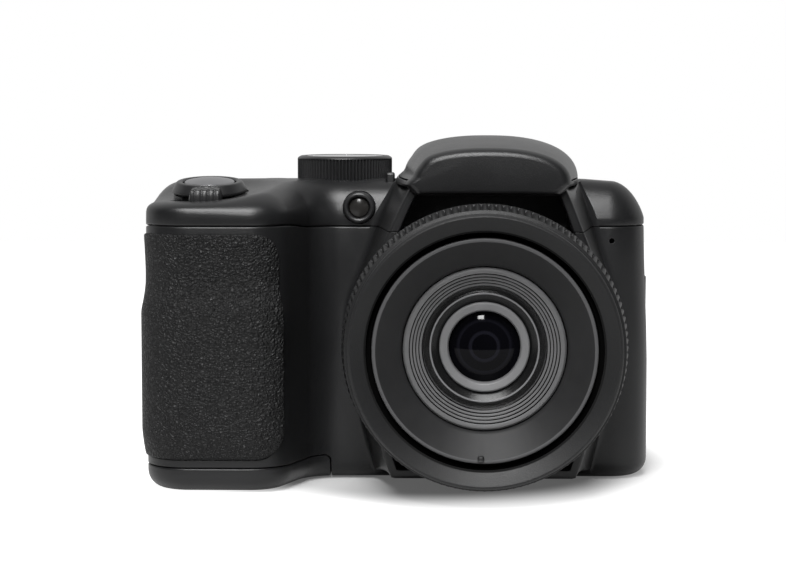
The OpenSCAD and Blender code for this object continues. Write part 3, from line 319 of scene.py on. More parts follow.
def finish(name, look, colour, rough, metal=0.0, specular=0.5, coat=0.0):
    # A material whose look function returns base colour, roughness and bump wires, and the bump's depth in mm
    mat = bpy.data.materials.new(name)
    mat.use_nodes = True
    tree = mat.node_tree
    shader = tree.nodes["Principled BSDF"]
    for key, value in {"Metallic": metal, "Specular IOR Level": specular, "Coat Weight": coat}.items():
        shader.inputs[key].default_value = value
    place = Wire(tree).node("ShaderNodeTexCoord", {}, {}, "Object")
    tone, gloss, height, depth = look(place, colour, rough)
    tree.links.new(tone.socket, shader.inputs["Base Color"])
    tree.links.new(gloss.socket, shader.inputs["Roughness"])
    lips = place.node("ShaderNodeBevel", {"samples": 4}, {"Radius": 0.18 * mm})
    values = {"Strength": 1.0, "Distance": depth * mm, "Height": height, "Normal": lips}
    bump = place.node("ShaderNodeBump", {}, values)
    tree.links.new(bump.socket, shader.inputs["Normal"])
    return mat


def shade(colour, times):
    return tuple(min(1.0, c * times) for c in colour)


def grained(clouds, grain, low, high, uneven, grit, depth):
    # A look with clouded tone and gloss over a fine grain; grit is how far the grain shows in the gloss
    def look(place, colour, rough):
        cloud, fine = noise(place, *clouds), noise(place, grain)
        gloss = (cloud - 0.5) * uneven + rough
        if grit:
            gloss = gloss + (fine - 0.5) * grit
        return blend(cloud, shade(colour, low), shade(colour, high)), gloss, fine, depth

    return look


sparkPlastic = grained((70.0, 3.0), 5200.0, 0.8, 1.25, 0.16, 0.14, 0.028)
smoothPlastic = grained((120.0, 3.0), 2400.0, 0.85, 1.2, 0.12, 0, 0.006)
castMetal = grained((240.0, 4.0), 3000.0, 0.8, 1.15, 0.25, 0, 0.006)


def leatherRubber(place, colour, rough):
    # Rubber with a leather grain: rounded pebbles of uneven size between creases painted darker as shade, and
    # fine pores
    warp = place.node("ShaderNodeTexNoise", {}, {"Vector": place, "Scale": 420.0, "Detail": 2.0}, 1)
    shift = place.node("ShaderNodeVectorMath", {"operation": "SCALE"}, {0: warp, "Scale": 0.0007})
    bent = place.node("ShaderNodeVectorMath", {"operation": "ADD"}, {0: place, 1: shift})
    crease, small = cells(bent, 880.0), cells(bent, 1700.0)
    pebbleAndCreaseShade = crease.above(0.0, 0.4) * 0.6 + small.above(0.0, 0.35) * 0.4
    height = pebbleAndCreaseShade + noise(place, 4200.0, 2.0) * 0.1
    # the darker colour in the creases is painted shade
    tone = blend(pebbleAndCreaseShade.clip(), shade(colour, 0.4), shade(colour, 1.3))
    return tone, rough + 0.16 - pebbleAndCreaseShade * 0.26, height, 0.36


def latheTurned(place, colour, rough):
    # Fine rings about the lens axis, as left by a lathe
    r = fromLens(place)
    rings = (r * (2 * math.pi / (0.16 * mm))).math("SINE")
    cloud = noise(place, 300.0, 2.0)
    tone = blend(cloud, shade(colour, 0.88), shade(colour, 1.12))
    return tone, (cloud - 0.5) * 0.08 + rough, rings, 0.006


def paintedRimBarrel(place, colour, rough):
    # The lathe finish with a paler rim at the barrel's front edge as a painted highlight, and black past it
    # as painted shade in the gap behind the ring
    tone, gloss, height, depth = latheTurned(place, colour, rough)
    r = fromLens(place)
    # side marks the barrel's outer wall in the gap, painted black as shade
    side = past(r, bands["paintedGapShade"])
    # the paler rim colour is a painted highlight on the barrel's front edge
    paintedRimHighlight = blend(past(r, bands["rim"]), tone, (0.075, 0.075, 0.077))
    return blend(side, paintedRimHighlight, (0.002, 0.002, 0.002)), gloss + side * 0.4, height, depth


def grainedRing(place, colour, rough):
    # Coarse sparkling grain, black inside the lip where no light comes
    fine, cloud = noise(place, 3600.0, 2.0), noise(place, 70.0, 3.0)
    r = fromLens(place)
    face = past(r, bands["face"])
    tone = blend(face, shade(colour, 0.12), colour)
    return tone, (cloud - 0.5) * 0.16 + (fine - 0.5) * 0.2 + rough + (1 - face) * 0.5, fine, 0.05


def ridgedBarrel(place, colour, rough):
    # The lathe finish with painted shade as dark lines between the ridges and dark inside them, and one
    # bright ring by the groove as a painted highlight
    tone, gloss, height, depth = latheTurned(place, colour, rough)
    r = fromLens(place)
    share = ((ridge["r"] * mm - r) / (ridge["pitch"] * mm)).math("FRACT")
    # painted shade: dark lines on the steps between the ridges
    line = share.above(0.68, 0.76) * (1 - past(r, bands["ridges"]))
    # painted shade: dark inside the ridges
    inside = (1 - past(r, bands["inside"])).math("MAXIMUM", line)
    # painted highlight: the bright ring by the groove
    edge = past(r, bands["paintedHighlightFrom"]) * (1 - past(r, bands["paintedHighlightTo"]))
    lit = blend(edge, blend(inside, tone, (0.006, 0.006, 0.0062)), (0.16, 0.16, 0.165))
    return lit, gloss - inside * 0.16, height, depth


def brushedDisc(place, colour, rough):
    # Rings about the mode dial's axis
    r = radiusFrom(place, dialAt["x"], dialAt["y"], 0, 2)
    rings = noise(r.node("ShaderNodeCombineXYZ", {}, {0: r}), 9000.0, 2.0)
    tone = blend(rings, shade(colour, 0.85), shade(colour, 1.1))
    return tone, (rings - 0.5) * 0.2 + rough, rings, 0.01


def coatedGlass(place, colour, rough):
    # Dark coated glass with two faint paler rings painted as reflections of the elements behind it
    cloud = noise(place, 90.0, 1.0)
    r = fromLens(place)
    # the paler rings are painted reflections of inner elements
    small = past(r, (2.6, 2.8)) * (1 - past(r, (3.2, 3.6)))
    wide = past(r, (5.3, 5.5)) * (1 - past(r, (5.7, 6.3)))
    tone = blend(((small + wide * 0.6) * 0.8 + cloud * 0.2).clip(), shade(colour, 0.6), shade(colour, 4.0))
    return tone, (cloud - 0.5) * 0.01 + rough, cloud, 0.001


def solderMask(place, colour, rough):
    # Board lacquer over faint tracks
    track = cells(place, 900.0).above(0.02, 0.08)
    tone = blend(track, shade(colour, 1.7), colour)
    return tone, track * 0.1 + rough, track, 0.02


lensAt = dict(x=19.8, z=34.5)
lensOrigin = [lensAt["x"], 0, lensAt["z"]]
ridge = dict(r=16.8, front=55.4, pitch=0.68, count=5, drop=0.5)
# Radii in mm of bands that the lens finishes colour: a painted highlight on the barrel rim, painted shade in
# the gap past it, inside the ring's lip and on and inside the ridges, and a painted highlight by the groove
bands = dict(rim=(23.35, 23.45), paintedGapShade=(24.1, 24.2), face=(25.75, 25.95), ridges=(16.75, 16.8),
             inside=(13.2, 13.4), paintedHighlightFrom=(11.5, 11.6), paintedHighlightTo=(11.85, 11.95))
dialAt = dict(x=-12.7, y=-1.0, hole=2.55)
dialOrigin = [dialAt["x"], dialAt["y"], 0]
black = (0.0095, 0.0096, 0.0101)
finishes = {
    "shell_black": finish("satinShell", sparkPlastic, black, 0.35, specular=0.4),
    "grip_rubber": finish("leatherRubber", leatherRubber, (0.0070, 0.0070, 0.0074), 0.44, specular=0.29),
    "control_black": finish("controlPlastic", smoothPlastic, (0.0125, 0.0126, 0.0132), 0.36),
    "record_red": finish("recordRed", smoothPlastic, (0.30, 0.016, 0.014), 0.34),
    "shutter_metal": finish("shutterMetal", castMetal, (0.30, 0.30, 0.31), 0.34, 1.0),
    "lens_black": finish("lensPlastic", sparkPlastic, (0.0085, 0.0086, 0.0090), 0.46, specular=0.27),
    "cam_metal": finish("camMetal", castMetal, (0.42, 0.42, 0.43), 0.36, 1.0),
    "lens_glass": finish("frontGlass", coatedGlass, (0.0022, 0.0022, 0.0032), 0.05, specular=0.08),
    "lamp_glass": finish("lampGlass", smoothPlastic, (0.020, 0.019, 0.018), 0.2, specular=0.25),
    "screen_gloss": finish("screenGloss", smoothPlastic, (0.005, 0.005, 0.0058), 0.07, specular=0.4),
    "bright_metal": finish("brightMetal", castMetal, (0.62, 0.62, 0.63), 0.24, 1.0),
    "screw_steel": finish("screwSteel", castMetal, (0.16, 0.16, 0.165), 0.38, 1.0),
    "inner_plastic": finish("innerPlastic", smoothPlastic, (0.022, 0.023, 0.026), 0.5),
    "board_green": finish("solderMask", solderMask, (0.006, 0.055, 0.024), 0.35),
    "cell_jacket": finish("cellJacket", smoothPlastic, (0.42, 0.27, 0.09), 0.3),
}
looks = {  # pieces whose finish differs from the rest of their slot
    "lens_ring": finish("ringPlastic", grainedRing, (0.0120, 0.0121, 0.0125), 0.46, specular=0.27),
    "zoom_barrel": finish("turnedCone", paintedRimBarrel, (0.0175, 0.0175, 0.0180), 0.42, specular=0.2),
    "inner_barrel": finish("turnedRidges", ridgedBarrel, (0.100, 0.100, 0.102), 0.4),
    "front_retainer": finish("retainerGrey", latheTurned, (0.148, 0.148, 0.151), 0.44),
    "dial_disc": finish("dialDisc", brushedDisc, (0.68, 0.68, 0.69), 0.32, 1.0),
    "flash_window": finish("flashDiffuser", smoothPlastic, (0.72, 0.73, 0.74), 0.22, coat=1.0),
    "flash_reflector": finish("reflectorMirror", castMetal, (0.85, 0.85, 0.86), 0.12, 1.0),
    # the cam ring is coloured near black with little shine as painted shade, seen through the gap round the
    # zoom barrel
    "cam_ring": finish("paintedShadeBlack", smoothPlastic, (0.0015, 0.0015, 0.0015), 0.9, specular=0.05),
}
for part in frame["record"]["subparts"]:
    coats = nodes[part["node"]].data.materials
    coats.clear()
    coats.append(looks.get(part["node"], finishes[part["material_slot"]]))
print("finishes made:", len(finishes) + len(looks))

shell = dict(left=-56.4, right=58.4, front=-17.0, rear=17.0, gripFront=-38.0, gripRound=10.0, gripInX=-33.0,
             lean=20.0, rootRound=8.0, sideRound=9.0, rearRound=7.0, rearShare=0.6, wall=1.1, baseRound=4.0,
             seam=58.6, parting=0.2, split=9.0, deck=69.2, shoulder=7.5, lip=0.35, hubX=-40.25, drawIn=1.05,
             tongue=1.2, lift=1.15)


def cornerBends():
    # The body's rounded corners from above: centre, radius, first and last angle, growth with the inset, and
    # whether the rear inset counts
    left, right, front, rear = (shell[key] for key in ("left", "right", "front", "rear"))
    grip, root, side, back = (shell[key] for key in ("gripRound", "rootRound", "sideRound", "rearRound"))
    turn = math.radians(shell["lean"])
    gripY = shell["gripFront"] + grip
    leanX = shell["gripInX"] + grip * math.cos(turn)
    leanY = gripY - grip * math.sin(turn)
    run = (front - root * (1 - math.sin(turn)) - leanY) / math.cos(turn)
    rootX = leanX + run * math.sin(turn) + root * math.cos(turn)
    return [(left + grip, gripY, grip, 180, 270, -1, False),
            (shell["gripInX"], gripY, grip, 270, 360 - shell["lean"], -1, False),
            (rootX, front - root, root, 180 - shell["lean"], 90, 1, False),
            (right - side, front + side, side, 270, 360, -1, False),
            (right - back, rear - back, back, 0, 90, -1, True),
            (left + back, rear - back, back, 90, 180, -1, True)]


def seamStop(side, y):
    # Where the outline ends at the seam between the front and rear shells
    x, turn = (shell["right"] - 10, 0) if side > 0 else (shell["left"] + 10, 180)
    return x, y, 10, turn, turn, -1, False


cut, parting = shell["split"] - shell["parting"] / 2, shell["parting"]
lowerTop, coverLow = shell["seam"] - parting / 2, shell["seam"] + parting / 2
allStops = cornerBends()
frontStops = [seamStop(-1, cut), *allStops[:4], seamStop(1, cut)]
rearStops = [seamStop(1, cut + parting), *allStops[4:], seamStop(-1, cut + parting)]


def outline(stops, inset, back, closed=False, run=10, bend=15):
    # Outline from above for every row: arcs drawn in by the row's inset, joined by straight runs
    inset, back = np.asarray(inset, float)[:, None], np.asarray(back, float)[:, None]
    bends = []
    for x, y, r, a0, a1, grow, rear in stops:
        a = np.radians(np.linspace(a0, a1, 1 if a0 == a1 else bend))[None, :]
        rx = np.maximum(r + grow * inset, 0.4)
        ry = np.maximum(r - back, 0.4) if rear else rx
        bends.append(np.stack([x + rx * np.cos(a), y + ry * np.sin(a)], -1))
    t = np.linspace(0, 1, run + 2)[1:-1][None, :, None]
    columns = []
    for k, here in enumerate(bends):
        columns.append(here)
        if closed or k + 1 < len(bends):
            there = bends[(k + 1) % len(bends)]
            columns.append(here[:, -1:] * (1 - t) + there[:, :1] * t)
    return np.concatenate(columns, 1)


def wallRows(top):
    # Rows of (inset, rear inset, height) up the outer side of the lower wall, over its lip and down inside
    r, lip, wall, share = shell["baseRound"], shell["lip"], shell["wall"], shell["rearShare"]
    a, b = np.radians(np.linspace(0, 90, 10)), np.radians(np.linspace(0, 90, 5))
    foot, inside = r * (1 - np.sin(a)), (r - wall) * (1 - np.sin(a[::-1]))
    outer = [foot, share * foot, r * (1 - np.cos(a))]
    rise = np.linspace(r, top - lip, 8)[1:-1]
    side = [0 * rise, 0 * rise, rise]
    over = [lip * (1 - np.cos(b)), lip * (1 - np.cos(b)), top - lip + lip * np.sin(b)]
    inner = [wall + inside, wall + share * inside, wall + (r - wall) * (1 - np.cos(a[::-1]))]
    edge = [[wall], [wall], [top]]
    return np.concatenate([np.array(x, float) for x in (outer, side, over, edge, inner)], 1)


def lean(points):
    # Draws the far side wall in towards its top, and lifts the seam over the front of the grip
    x, y, z = points[..., 0], points[..., 1], points[..., 2]
    seam = shell["seam"]
    rise = np.where(z < seam, step01((z - 16) / (seam - 16)), 1 - step01((z - seam) / 8))
    return np.stack([x - shell["drawIn"] * step01((z - 24) / 36) * step01((x - 42) / 12), y,
                     z + shell["lift"] * rise * step01((-19 - y) / 15)], -1)


def raised(flat, z):
    # Points of outlines at given heights, on the leaning shell
    return lean(np.concatenate([flat, np.broadcast_to(z, (*flat.shape[:2], 1))], -1))


def lowerWall(stops, top, closed=False):
    # The lower wall with its floor, between two seams or all the way round
    inset, back, z = wallRows(top)
    flat = outline(stops, inset, back, closed)
    points = raised(flat, z[:, None, None])
    rows, cols = flat.shape[:2]
    faces = gridFaces(rows, cols, False, closed)
    faces += [list(range(cols)), list(range((rows - 1) * cols, rows * cols))]
    if not closed:
        first = [k * cols for k in range(rows)]
        faces.append(first + [k + cols - 1 for k in reversed(first)])
    return solid(points, faces)


deck = dict(fold=0.4, slopeX=0.06, slopeY=0.12, slopeFrom=-20.0, rearFall=1.6, rightFall=0.7, plinth=1.1)


def deckAt(x, y):
    # Height of the deck: level, sloping down over the grip beyond a soft fold, falling to the rear and the
    # far side, and sunk round the shutter button
    level, fold = shell["deck"], deck["fold"]
    slope = level + deck["slopeX"] * (x - deck["slopeFrom"]) + deck["slopeY"] * (y - shell["front"])
    folded = -fold * np.logaddexp(-level / fold, -slope / fold)
    sunk = deck["plinth"] * step01((17 - np.hypot(x - shutter["x"], y - shutter["y"])) / 8)
    return folded - deck["rearFall"] * step01((y + 6) / 16) - deck["rightFall"] * step01((x - 40) / 14) - sunk


def coverSide(inset, lip):
    # Rows of one side of the top cover, from its rim over the shoulder to the hub of the deck
    low, rise = coverLow, coverLow + 1.5
    b, a = np.radians(np.linspace(90, 0, 5)), np.radians(np.linspace(0, 90, 17))
    rim, roll = lip * (1 - np.cos(b)), shell["shoulder"] * (1 - np.cos(a))
    sides, back = np.concatenate([rim, roll]), np.concatenate([rim, shell["rearShare"] * roll])
    flat = outline(allStops, inset + sides, inset + back, True)
    x, y = flat[5:, :, 0], flat[5:, :, 1]
    foot = np.broadcast_to((low + lip * (1 - np.sin(b)))[:, None], flat[:5, :, 0].shape)
    full = glide(x, [-80, -50, -20, 25, 52, 80], [0.44, 0.46, 1.0, 1.0, 1.6, 1.65])
    dome = rise + (deckAt(x, y) - inset - rise) * np.sin(a)[:, None] ** full
    hub = np.array([shell["hubX"], 0.0])
    fan = hub + np.linspace(1, 0, 26)[1:, None, None] * (flat[-1] - hub)
    z = np.concatenate([foot, dome, deckAt(fan[..., 0], fan[..., 1]) - inset])
    return raised(np.concatenate([flat, fan]), z[..., None])


def topForm():
    # Inner side of the cover from its hub outwards, round the tongue that shuts the seam, then the outer side
    wall = shell["wall"]
    inset = np.array([wall + 0.8, wall + 0.15, wall + 0.15])
    drop = np.array([-shell["tongue"], -shell["tongue"], 0.0])[:, None, None]
    tongue = raised(outline(allStops, inset, inset, True), coverLow + drop)
    rows = [coverSide(wall + 0.8, 0.0)[::-1], tongue, coverSide(0.0, shell["lip"])]
    return sheetSolid(np.concatenate(rows), False, True)


hump = dict(x=20.6, half=21.0, panelY=-42.0, nose=-38.5, rear=15.9, partZ=70.2, hingeY=8.0, hingeZ=71.4,
            knuckle=2.6, earX=14.0, earLong=5.7, springRoom=3.0, gap=0.3, edge=0.8, power=2.4, leftTuck=0.09)


def humpForm(inset=0.0):
    # The hump as flattened arches carried from the front panel to the rear, with a rounded front edge
    e = hump["edge"]
    b = np.radians(np.linspace(0, 90, 7))
    start, rear = hump["panelY"] + inset, hump["rear"]
    y = np.concatenate([start + e * (1 - np.cos(b)), np.linspace(start + e + 0.4, rear - inset, 70)])
    small = np.concatenate([e * (1 - np.sin(b)), np.zeros(70)]) + inset
    at = [hump["panelY"], -40, -12, hump["hingeY"], rear]
    half = glide(y, at, [17.0, 18.2, 21.0, 19.8, 17.0]) - small
    high = glide(y, at, [76.2, 77.2, 79.4, 74.0, 70.2]) - small
    low = glide(y, at, [69.2, 69.2, 69.2, 69.2, 68.2])
    foot = glide(y, at, [15.0, 16.2, 21.0, 19.8, 17.0]) - small
    footZ = glide(y, at, [67.2, 67.2, 65.5, 65.5, 65.5]) + (small if not inset else 0)
    turn = np.linspace(0, math.pi, 65)
    c, s = np.cos(turn), np.sin(turn)
    x = half[:, None] * np.sign(c) * np.abs(c) ** (2 / hump["power"])
    up = s ** (2 / hump["power"])
    z = low[:, None] + (high - low)[:, None] * up
    x = x * np.where(c < 0, 1 - hump["leftTuck"] * step01(up / 0.25) * (1 - step01((up - 0.5) / 0.4)), 1)
    t = np.linspace(0, 1, 4)[1:]
    legX = half[:, None] * (1 - t) + foot[:, None] * t
    legZ = low[:, None] * (1 - t) + footZ[:, None] * t
    x = np.concatenate([x, -legX, legX[:, ::-1]], 1) + hump["x"]
    z = np.concatenate([z, legZ, legZ[:, ::-1]], 1)
    return sheetSolid(np.stack([x, np.broadcast_to(y[:, None], x.shape), z], -1), wrapCols=True, caps=True)


def hingeBar(r, x0, x1, segments=48):
    # Round bar on the axis that the flash head turns about
    return drum([0, hump["hingeY"], hump["hingeZ"]], "across", r, x0, x1, segments)


def headZone(gap):
    # Room that the flash head fills, grown by a gap where the fixed hump keeps clear of it
    x0, x1 = hump["x"] - hump["earX"] - gap, hump["x"] + hump["earX"] - hump["springRoom"] + gap
    low, nose = hump["partZ"] - gap, hump["nose"] - hump["gap"] + gap
    zone = box([-far, -far, low], [far, hump["hingeY"] - hump["knuckle"] - hump["gap"] + gap, far])
    middle = box([x0, -far + 1, low - 1e-3], [x1, hump["hingeY"], far - 1])
    front = box([-far + 1, -far + 1, 2], [far - 1, nose, far - 1])
    return join(zone, middle, hingeBar(hump["knuckle"] + gap, x0, x1), front)


def reachOf(points, angle):
    # Distance from the lens axis to the tight outline round some points, along each angle
    way = np.linspace(0, 2 * math.pi, 900, endpoint=False)
    p = np.asarray(points, float) - [lensAt["x"], lensAt["z"]]
    support = (p[:, :1] * np.cos(way) + p[:, 1:] * np.sin(way)).max(0)
    lean = np.cos(way[None, :] - angle[:, None])
    return np.where(lean > 0.05, support / np.maximum(lean, 0.05), 1e9).min(1)


nacelle = dict(footR=31.0, noseR=29.4, footHalf=24.8, noseHalf=20.5, footLow=2.0, noseLow=3.5,
               noseTopHalf=17.0, top=68.9, fillet=1.8, edge=0.9, lip=1.3, recess=12.0, bore=27.75)


def nacelleForm():
    # Tapered housing round the lens: its outline slides from foot to nose, with a fillet at the foot, a
    # rounded nose, and a deep recess inside a thin lip
    angle = np.linspace(0, 2 * math.pi, 288, endpoint=False)
    round1 = np.stack([np.cos(angle), np.sin(angle)], -1)
    centre = np.array([lensAt["x"], lensAt["z"]])

    def wrap(r, topHalf, lowHalf, low):
        # Reach of the outline round a circle, two upper and two lower corners
        x, lx, top = hump["x"], lensAt["x"], nacelle["top"]
        corners = [[x - topHalf, top], [x + topHalf, top], [lx - lowHalf, low], [lx + lowHalf, low]]
        return reachOf(np.concatenate([centre + r * round1, corners]), angle)

    foot = wrap(nacelle["footR"], hump["half"], nacelle["footHalf"], nacelle["footLow"])
    nose = wrap(nacelle["noseR"], nacelle["noseTopHalf"], nacelle["noseHalf"], nacelle["noseLow"])
    f = nacelle["fillet"] * (1 - step01((np.sin(angle) - 0.72) / 0.2)) * step01((np.sin(angle) + 0.95) / 0.3)
    b = np.radians(np.linspace(0, 90, 8))[:, None]
    face, end, e = shell["front"], hump["nose"], nacelle["edge"]
    flare = foot + f * (1 - np.sin(b))
    flareY = face - f * (1 - np.cos(b))
    t = np.linspace(0, 1, 14)[1:, None]
    sideY = flareY[-1] * (1 - t) + (end + e) * t
    side = foot + (nose - foot) * (sideY - face) / (end - face)
    edge = side[-1] - e * (1 - np.cos(b))
    edgeY = np.broadcast_to(end + e * (1 - np.sin(b)), edge.shape)
    bore, deep = nacelle["bore"], end + nacelle["recess"]
    lip = np.maximum(edge[-1] - nacelle["lip"], bore + 0.4)
    hole = 0 * lip + bore - 0.4
    inside = [(lip, end), (np.maximum(lip - 0.3, bore + 0.3), end + 0.3),
              (np.maximum(lip - 0.6, bore + 0.2), deep), (hole, deep), (hole, face + 3)]
    insideY = [np.full(len(angle), row[1]) for row in inside]
    r = np.concatenate([flare[:1], flare, side, edge, [row[0] for row in inside], flare[:1]])
    y = np.concatenate([flareY[:1] + 1.2, flareY, sideY, edgeY, insideY, flareY[:1] + 3])
    points = np.stack([centre[0] + r * np.cos(angle), y, centre[1] + r * np.sin(angle)], -1)
    return sheetSolid(points, True, True)


door = dict(x=-15.5, gap=0.3, rim=5.7, corner=1.5, endRound=1.68, pinX=-16.9, pinZ=1.4, knuckle=1.3,
            lugs=(-6.0, 6.0), lugLong=3.2, pin=0.55, latchX=-40.25, latchY=4.0, latchHalf=(4.0, 4.5),
            travel=3.0)


def pinBar(r, y0, y1, segments=48):
    # Round bar on the axis that the battery door turns about
    return drum([door["pinX"], 0, door["pinZ"]], "rear", r, y0, y1, segments)


def doorSpace(grow):
    # Space of the door at the base, with the rounded upper corner of its end
    high = [door["x"] + grow, far, door["rim"] - door["gap"] + grow]
    return softBox([-far, -far, -door["corner"] * 3], high, door["corner"])


def doorLugs():
    # Two lugs of the shell that carry the door's pin
    half, made = door["lugLong"] / 2, []
    for y in door["lugs"]:
        lug = pinBar(door["knuckle"] - 0.1, y - half, y + half)
        made.append(join(lug, box([door["pinX"], y - half, 0.3], [door["x"] + 2, y + half, 2.4])))
    return together(*made)


def baseHoles():
    # Screw holes of the base and the hole for the tripod bush
    spots = [(-8, 12), (19.8, 12), (48, 11), (40, -9)]
    bush = drum([0, 0, 0], "up", 4.7, -2, 3)
    return together(*[drum([x, y, 0], "up", 2.0, -2, 1.5) for x, y in spots], bush)


def lensBore():
    # The hole that the lens goes through
    return drum(lensOrigin, "lens", nacelle["bore"], 11.2, 60, 144)


def makeFrontShell():
    form = lowerWall(frontStops, lowerTop)
    join(form, meet(nacelleForm(), box([-far, -far, -5], [far, far, lowerTop])))
    port = box([shell["right"] - 3, -3.2, 33.8], [shell["right"] + 3, 7.2, 46.2])
    mic = drum([49.4, 0, 55.3], "lens", 0.6, 14, 19, 24)
    doorRoom = carve(doorSpace(door["gap"]), doorLugs())
    cutAll(form, lensBore(), doorRoom, baseHoles(), port, mic, skinForm(skin["groove"], 0.5))
    return settle(form, "frontShell", "body", "shell_black", ["front_shell"])


# Each key's place, radius and height above the shell
rearKeys = dict(record=(-26.5, 51.5, 3.6, 0.6), menu=(-26.5, 41.5, 3.0, 0.5), play=(-28.0, 13.5, 3.0, 0.5),
                delete=(-44.0, 13.5, 3.0, 0.5))
pad = dict(x=-36.0, z=28.0, r=9.3, setR=3.9)
padOrigin = [pad["x"], 0, pad["z"]]
screen = dict(x0=-17.5, x1=51.0, z0=6.5, z1=56.5, gap=0.25)


def makeRearShell():
    form = lowerWall(rearStops, lowerTop)
    keys = [drum([x, 0, z], "rear", r + 0.15, 10, 20) for x, z, r, _ in rearKeys.values()]
    keys.append(drum(padOrigin, "rear", pad["r"] + 0.3, 10, 20, 72))
    g = screen["gap"]
    window = softBox([screen["x0"] - g, 4, screen["z0"] - g], [screen["x1"] + g, 26, screen["z1"] + g], 1.2)
    cutAll(form, doorSpace(door["gap"]), window, together(*keys), baseHoles())
    return settle(form, "rearShell", "body", "shell_black", ["rear_shell"])


shutter = dict(x=-42.7, y=-21.0, z=66.3, tilt=math.atan(0.12), r=5.8, leverR=8.5, bore=6.1, tabHalf=3.7,
               tabReach=3.0)
shutterAxis = ((0, -math.sin(shutter["tilt"]), math.cos(shutter["tilt"])), (1, 0, 0))
shutterAt = [shutter["x"], shutter["y"], shutter["z"]]
topKeys = dict(power=(-29.5, 6.0, 3.4, 0.8), burst=(-37.5, 6.0, 2.9, 0.7))
flashKey = dict(x=-1.65, y=-9.6, halfX=0.95, halfY=2.5, top=70.7)
lamp = dict(x=-8.7, z=62.9, r=3.7)
lampOrigin = [lamp["x"], 0, lamp["z"]]
lugs = dict(x=(52.8, -51.9), y=6.0, z=63.5, r=2.3, bar=0.75)


def shutterBar(r, s0, s1, segments=48):
    # Round bar on the tilted axis of the shutter button
    return drum(shutterAt, shutterAxis, r, s0, s1, segments)


def flashKeyBlock(growX, growY, low, high, *soft):
    # Block round the flash button, its edges rounded where soft gives a radius
    k, shape = flashKey, softBox if soft else box
    x, y = k["halfX"] + growX, k["halfY"] + growY
    return shape([k["x"] - x, k["y"] - y, low], [k["x"] + x, k["y"] + y, high], *soft)


def wedge(origin, axis, r0, r1, s0, s1, a0, a1):
    # Sector of a ring, used for cutting
    along, side = (np.array(v, float) for v in axis)
    other = np.cross(along, side)
    a = np.radians(np.linspace(a0, a1, 24))
    ring = np.cos(a)[:, None] * side + np.sin(a)[:, None] * other
    loop = np.array([[r0, s0], [r1, s0], [r1, s1], [r0, s1]], float)
    points = np.array(origin, float) + ring[:, None] * loop[None, :, :1] + loop[None, :, 1:] * along
    return sheetSolid(points, wrapCols=True, caps=True)


def makeTopCover():
    form = topForm()
    join(form, meet(nacelleForm(), box([-far, -far, coverLow], [far, far, shell["deck"] - 0.25])))
    mid, gap, ear = hump["x"], hump["gap"], hump["earX"]
    ends = (ear + gap, ear + gap + hump["earLong"])
    ears = [hingeBar(hump["knuckle"], mid + s * ends[0], mid + s * ends[1]) for s in (-1, 1)]
    keep = box([-far, hump["nose"], shell["deck"] - 0.55], [far, far, far])
    join(keep, box([-far, -16, 65.6], [far, far - 1, far - 1]))
    fixed = carve(meet(humpForm(), keep), headZone(gap))
    join(fixed, meet(together(*ears), humpForm()))
    join(form, fixed, shutterBar(shutter["leverR"] - 0.3, -3, 0.0, 72))
    pin = hingeBar(0.9, mid - 18.5, mid + 18.5, 32)
    groove = hingeBar(hump["knuckle"] + gap, mid - ear - 0.24, mid + ear + 0.24)
    holes = [drum([x, y, 0], "up", r + 0.15, 62, 90) for x, y, r, _ in topKeys.values()]
    holes.append(drum(dialOrigin, "up", dialAt["hole"], 60, 90))
    holes.append(flashKeyBlock(0.15, 0.15, 60, 90))
    holes.append(drum(lampOrigin, "lens", lamp["r"] + 0.1, 10, 25))
    for x in lugs["x"]:
        holes.append(drum([x, 0, lugs["z"]], "rear", lugs["r"] + 1.9, lugs["y"] - 3.2, lugs["y"] + 3.2))
    r = shutter["leverR"]
    lever = [shutterBar(r + 0.4, 0.001, 30, 72), shutterBar(7.2, -10, 31),
             wedge(shutterAt, shutterAxis, r - 1.0, r + 3.6, -0.8, 8, 226, 314)]
    cutAll(form, pin, groove, lensBore(), together(*holes), *lever)
    return settle(form, "topCover", "body", "shell_black", ["top_cover"])


def makeFlashHead():
    form = meet(humpForm(), headZone(0.0))
    rear = hump["hingeY"] - hump["knuckle"] - 1.5
    hollow = meet(humpForm(1.6), box([-far, hump["nose"] + 0.6, 0], [far, rear, far]))
    sweep = 1.5 * hump["knuckle"] + 0.3
    left = hingeBar(sweep, -far, hump["x"] - hump["earX"])
    right = hingeBar(sweep, hump["x"] + hump["earX"] - hump["springRoom"], far)
    cutAll(form, hollow, hingeBar(0.95, -far, far, 32), left, right)
    return settle(form, "flashHead", "flash_head", "shell_black", ["flash_head"])


def makeBatteryDoor():
    form = meet(lowerWall(allStops, door["rim"] - door["gap"], True), doorSpace(0))
    front, rear, travel = shell["front"], shell["rear"], door["travel"]
    join(form, pinBar(door["knuckle"], front + 6, rear - 4))
    corner = box([door["pinX"], -far, -1], [far, far, door["pinZ"]])
    carve(corner, pinBar(door["endRound"], -far - 1, far + 1))
    half = door["lugLong"] / 2 + 0.3
    slots = [box([door["pinX"] - 2, y - half, -1], [far, y + half, far]) for y in door["lugs"]]
    x, y, (hx, hy) = door["latchX"], door["latchY"], door["latchHalf"]
    latch = box([x - hx - 0.3, y - hy - 0.3, -1], [x + hx + 0.3, y + hy + 0.3 + travel, 1.3])
    join(latch, box([x - 1.8, y - 1.8, -0.9], [x + 1.8, y + 1.8 + travel, 6]))
    cutAll(form, corner, *slots, pinBar(door["pin"] + 0.05, front + 6.4, rear - 4.4, 24), latch)
    return settle(form, "batteryDoor", "battery_door", "shell_black", ["battery_door"])


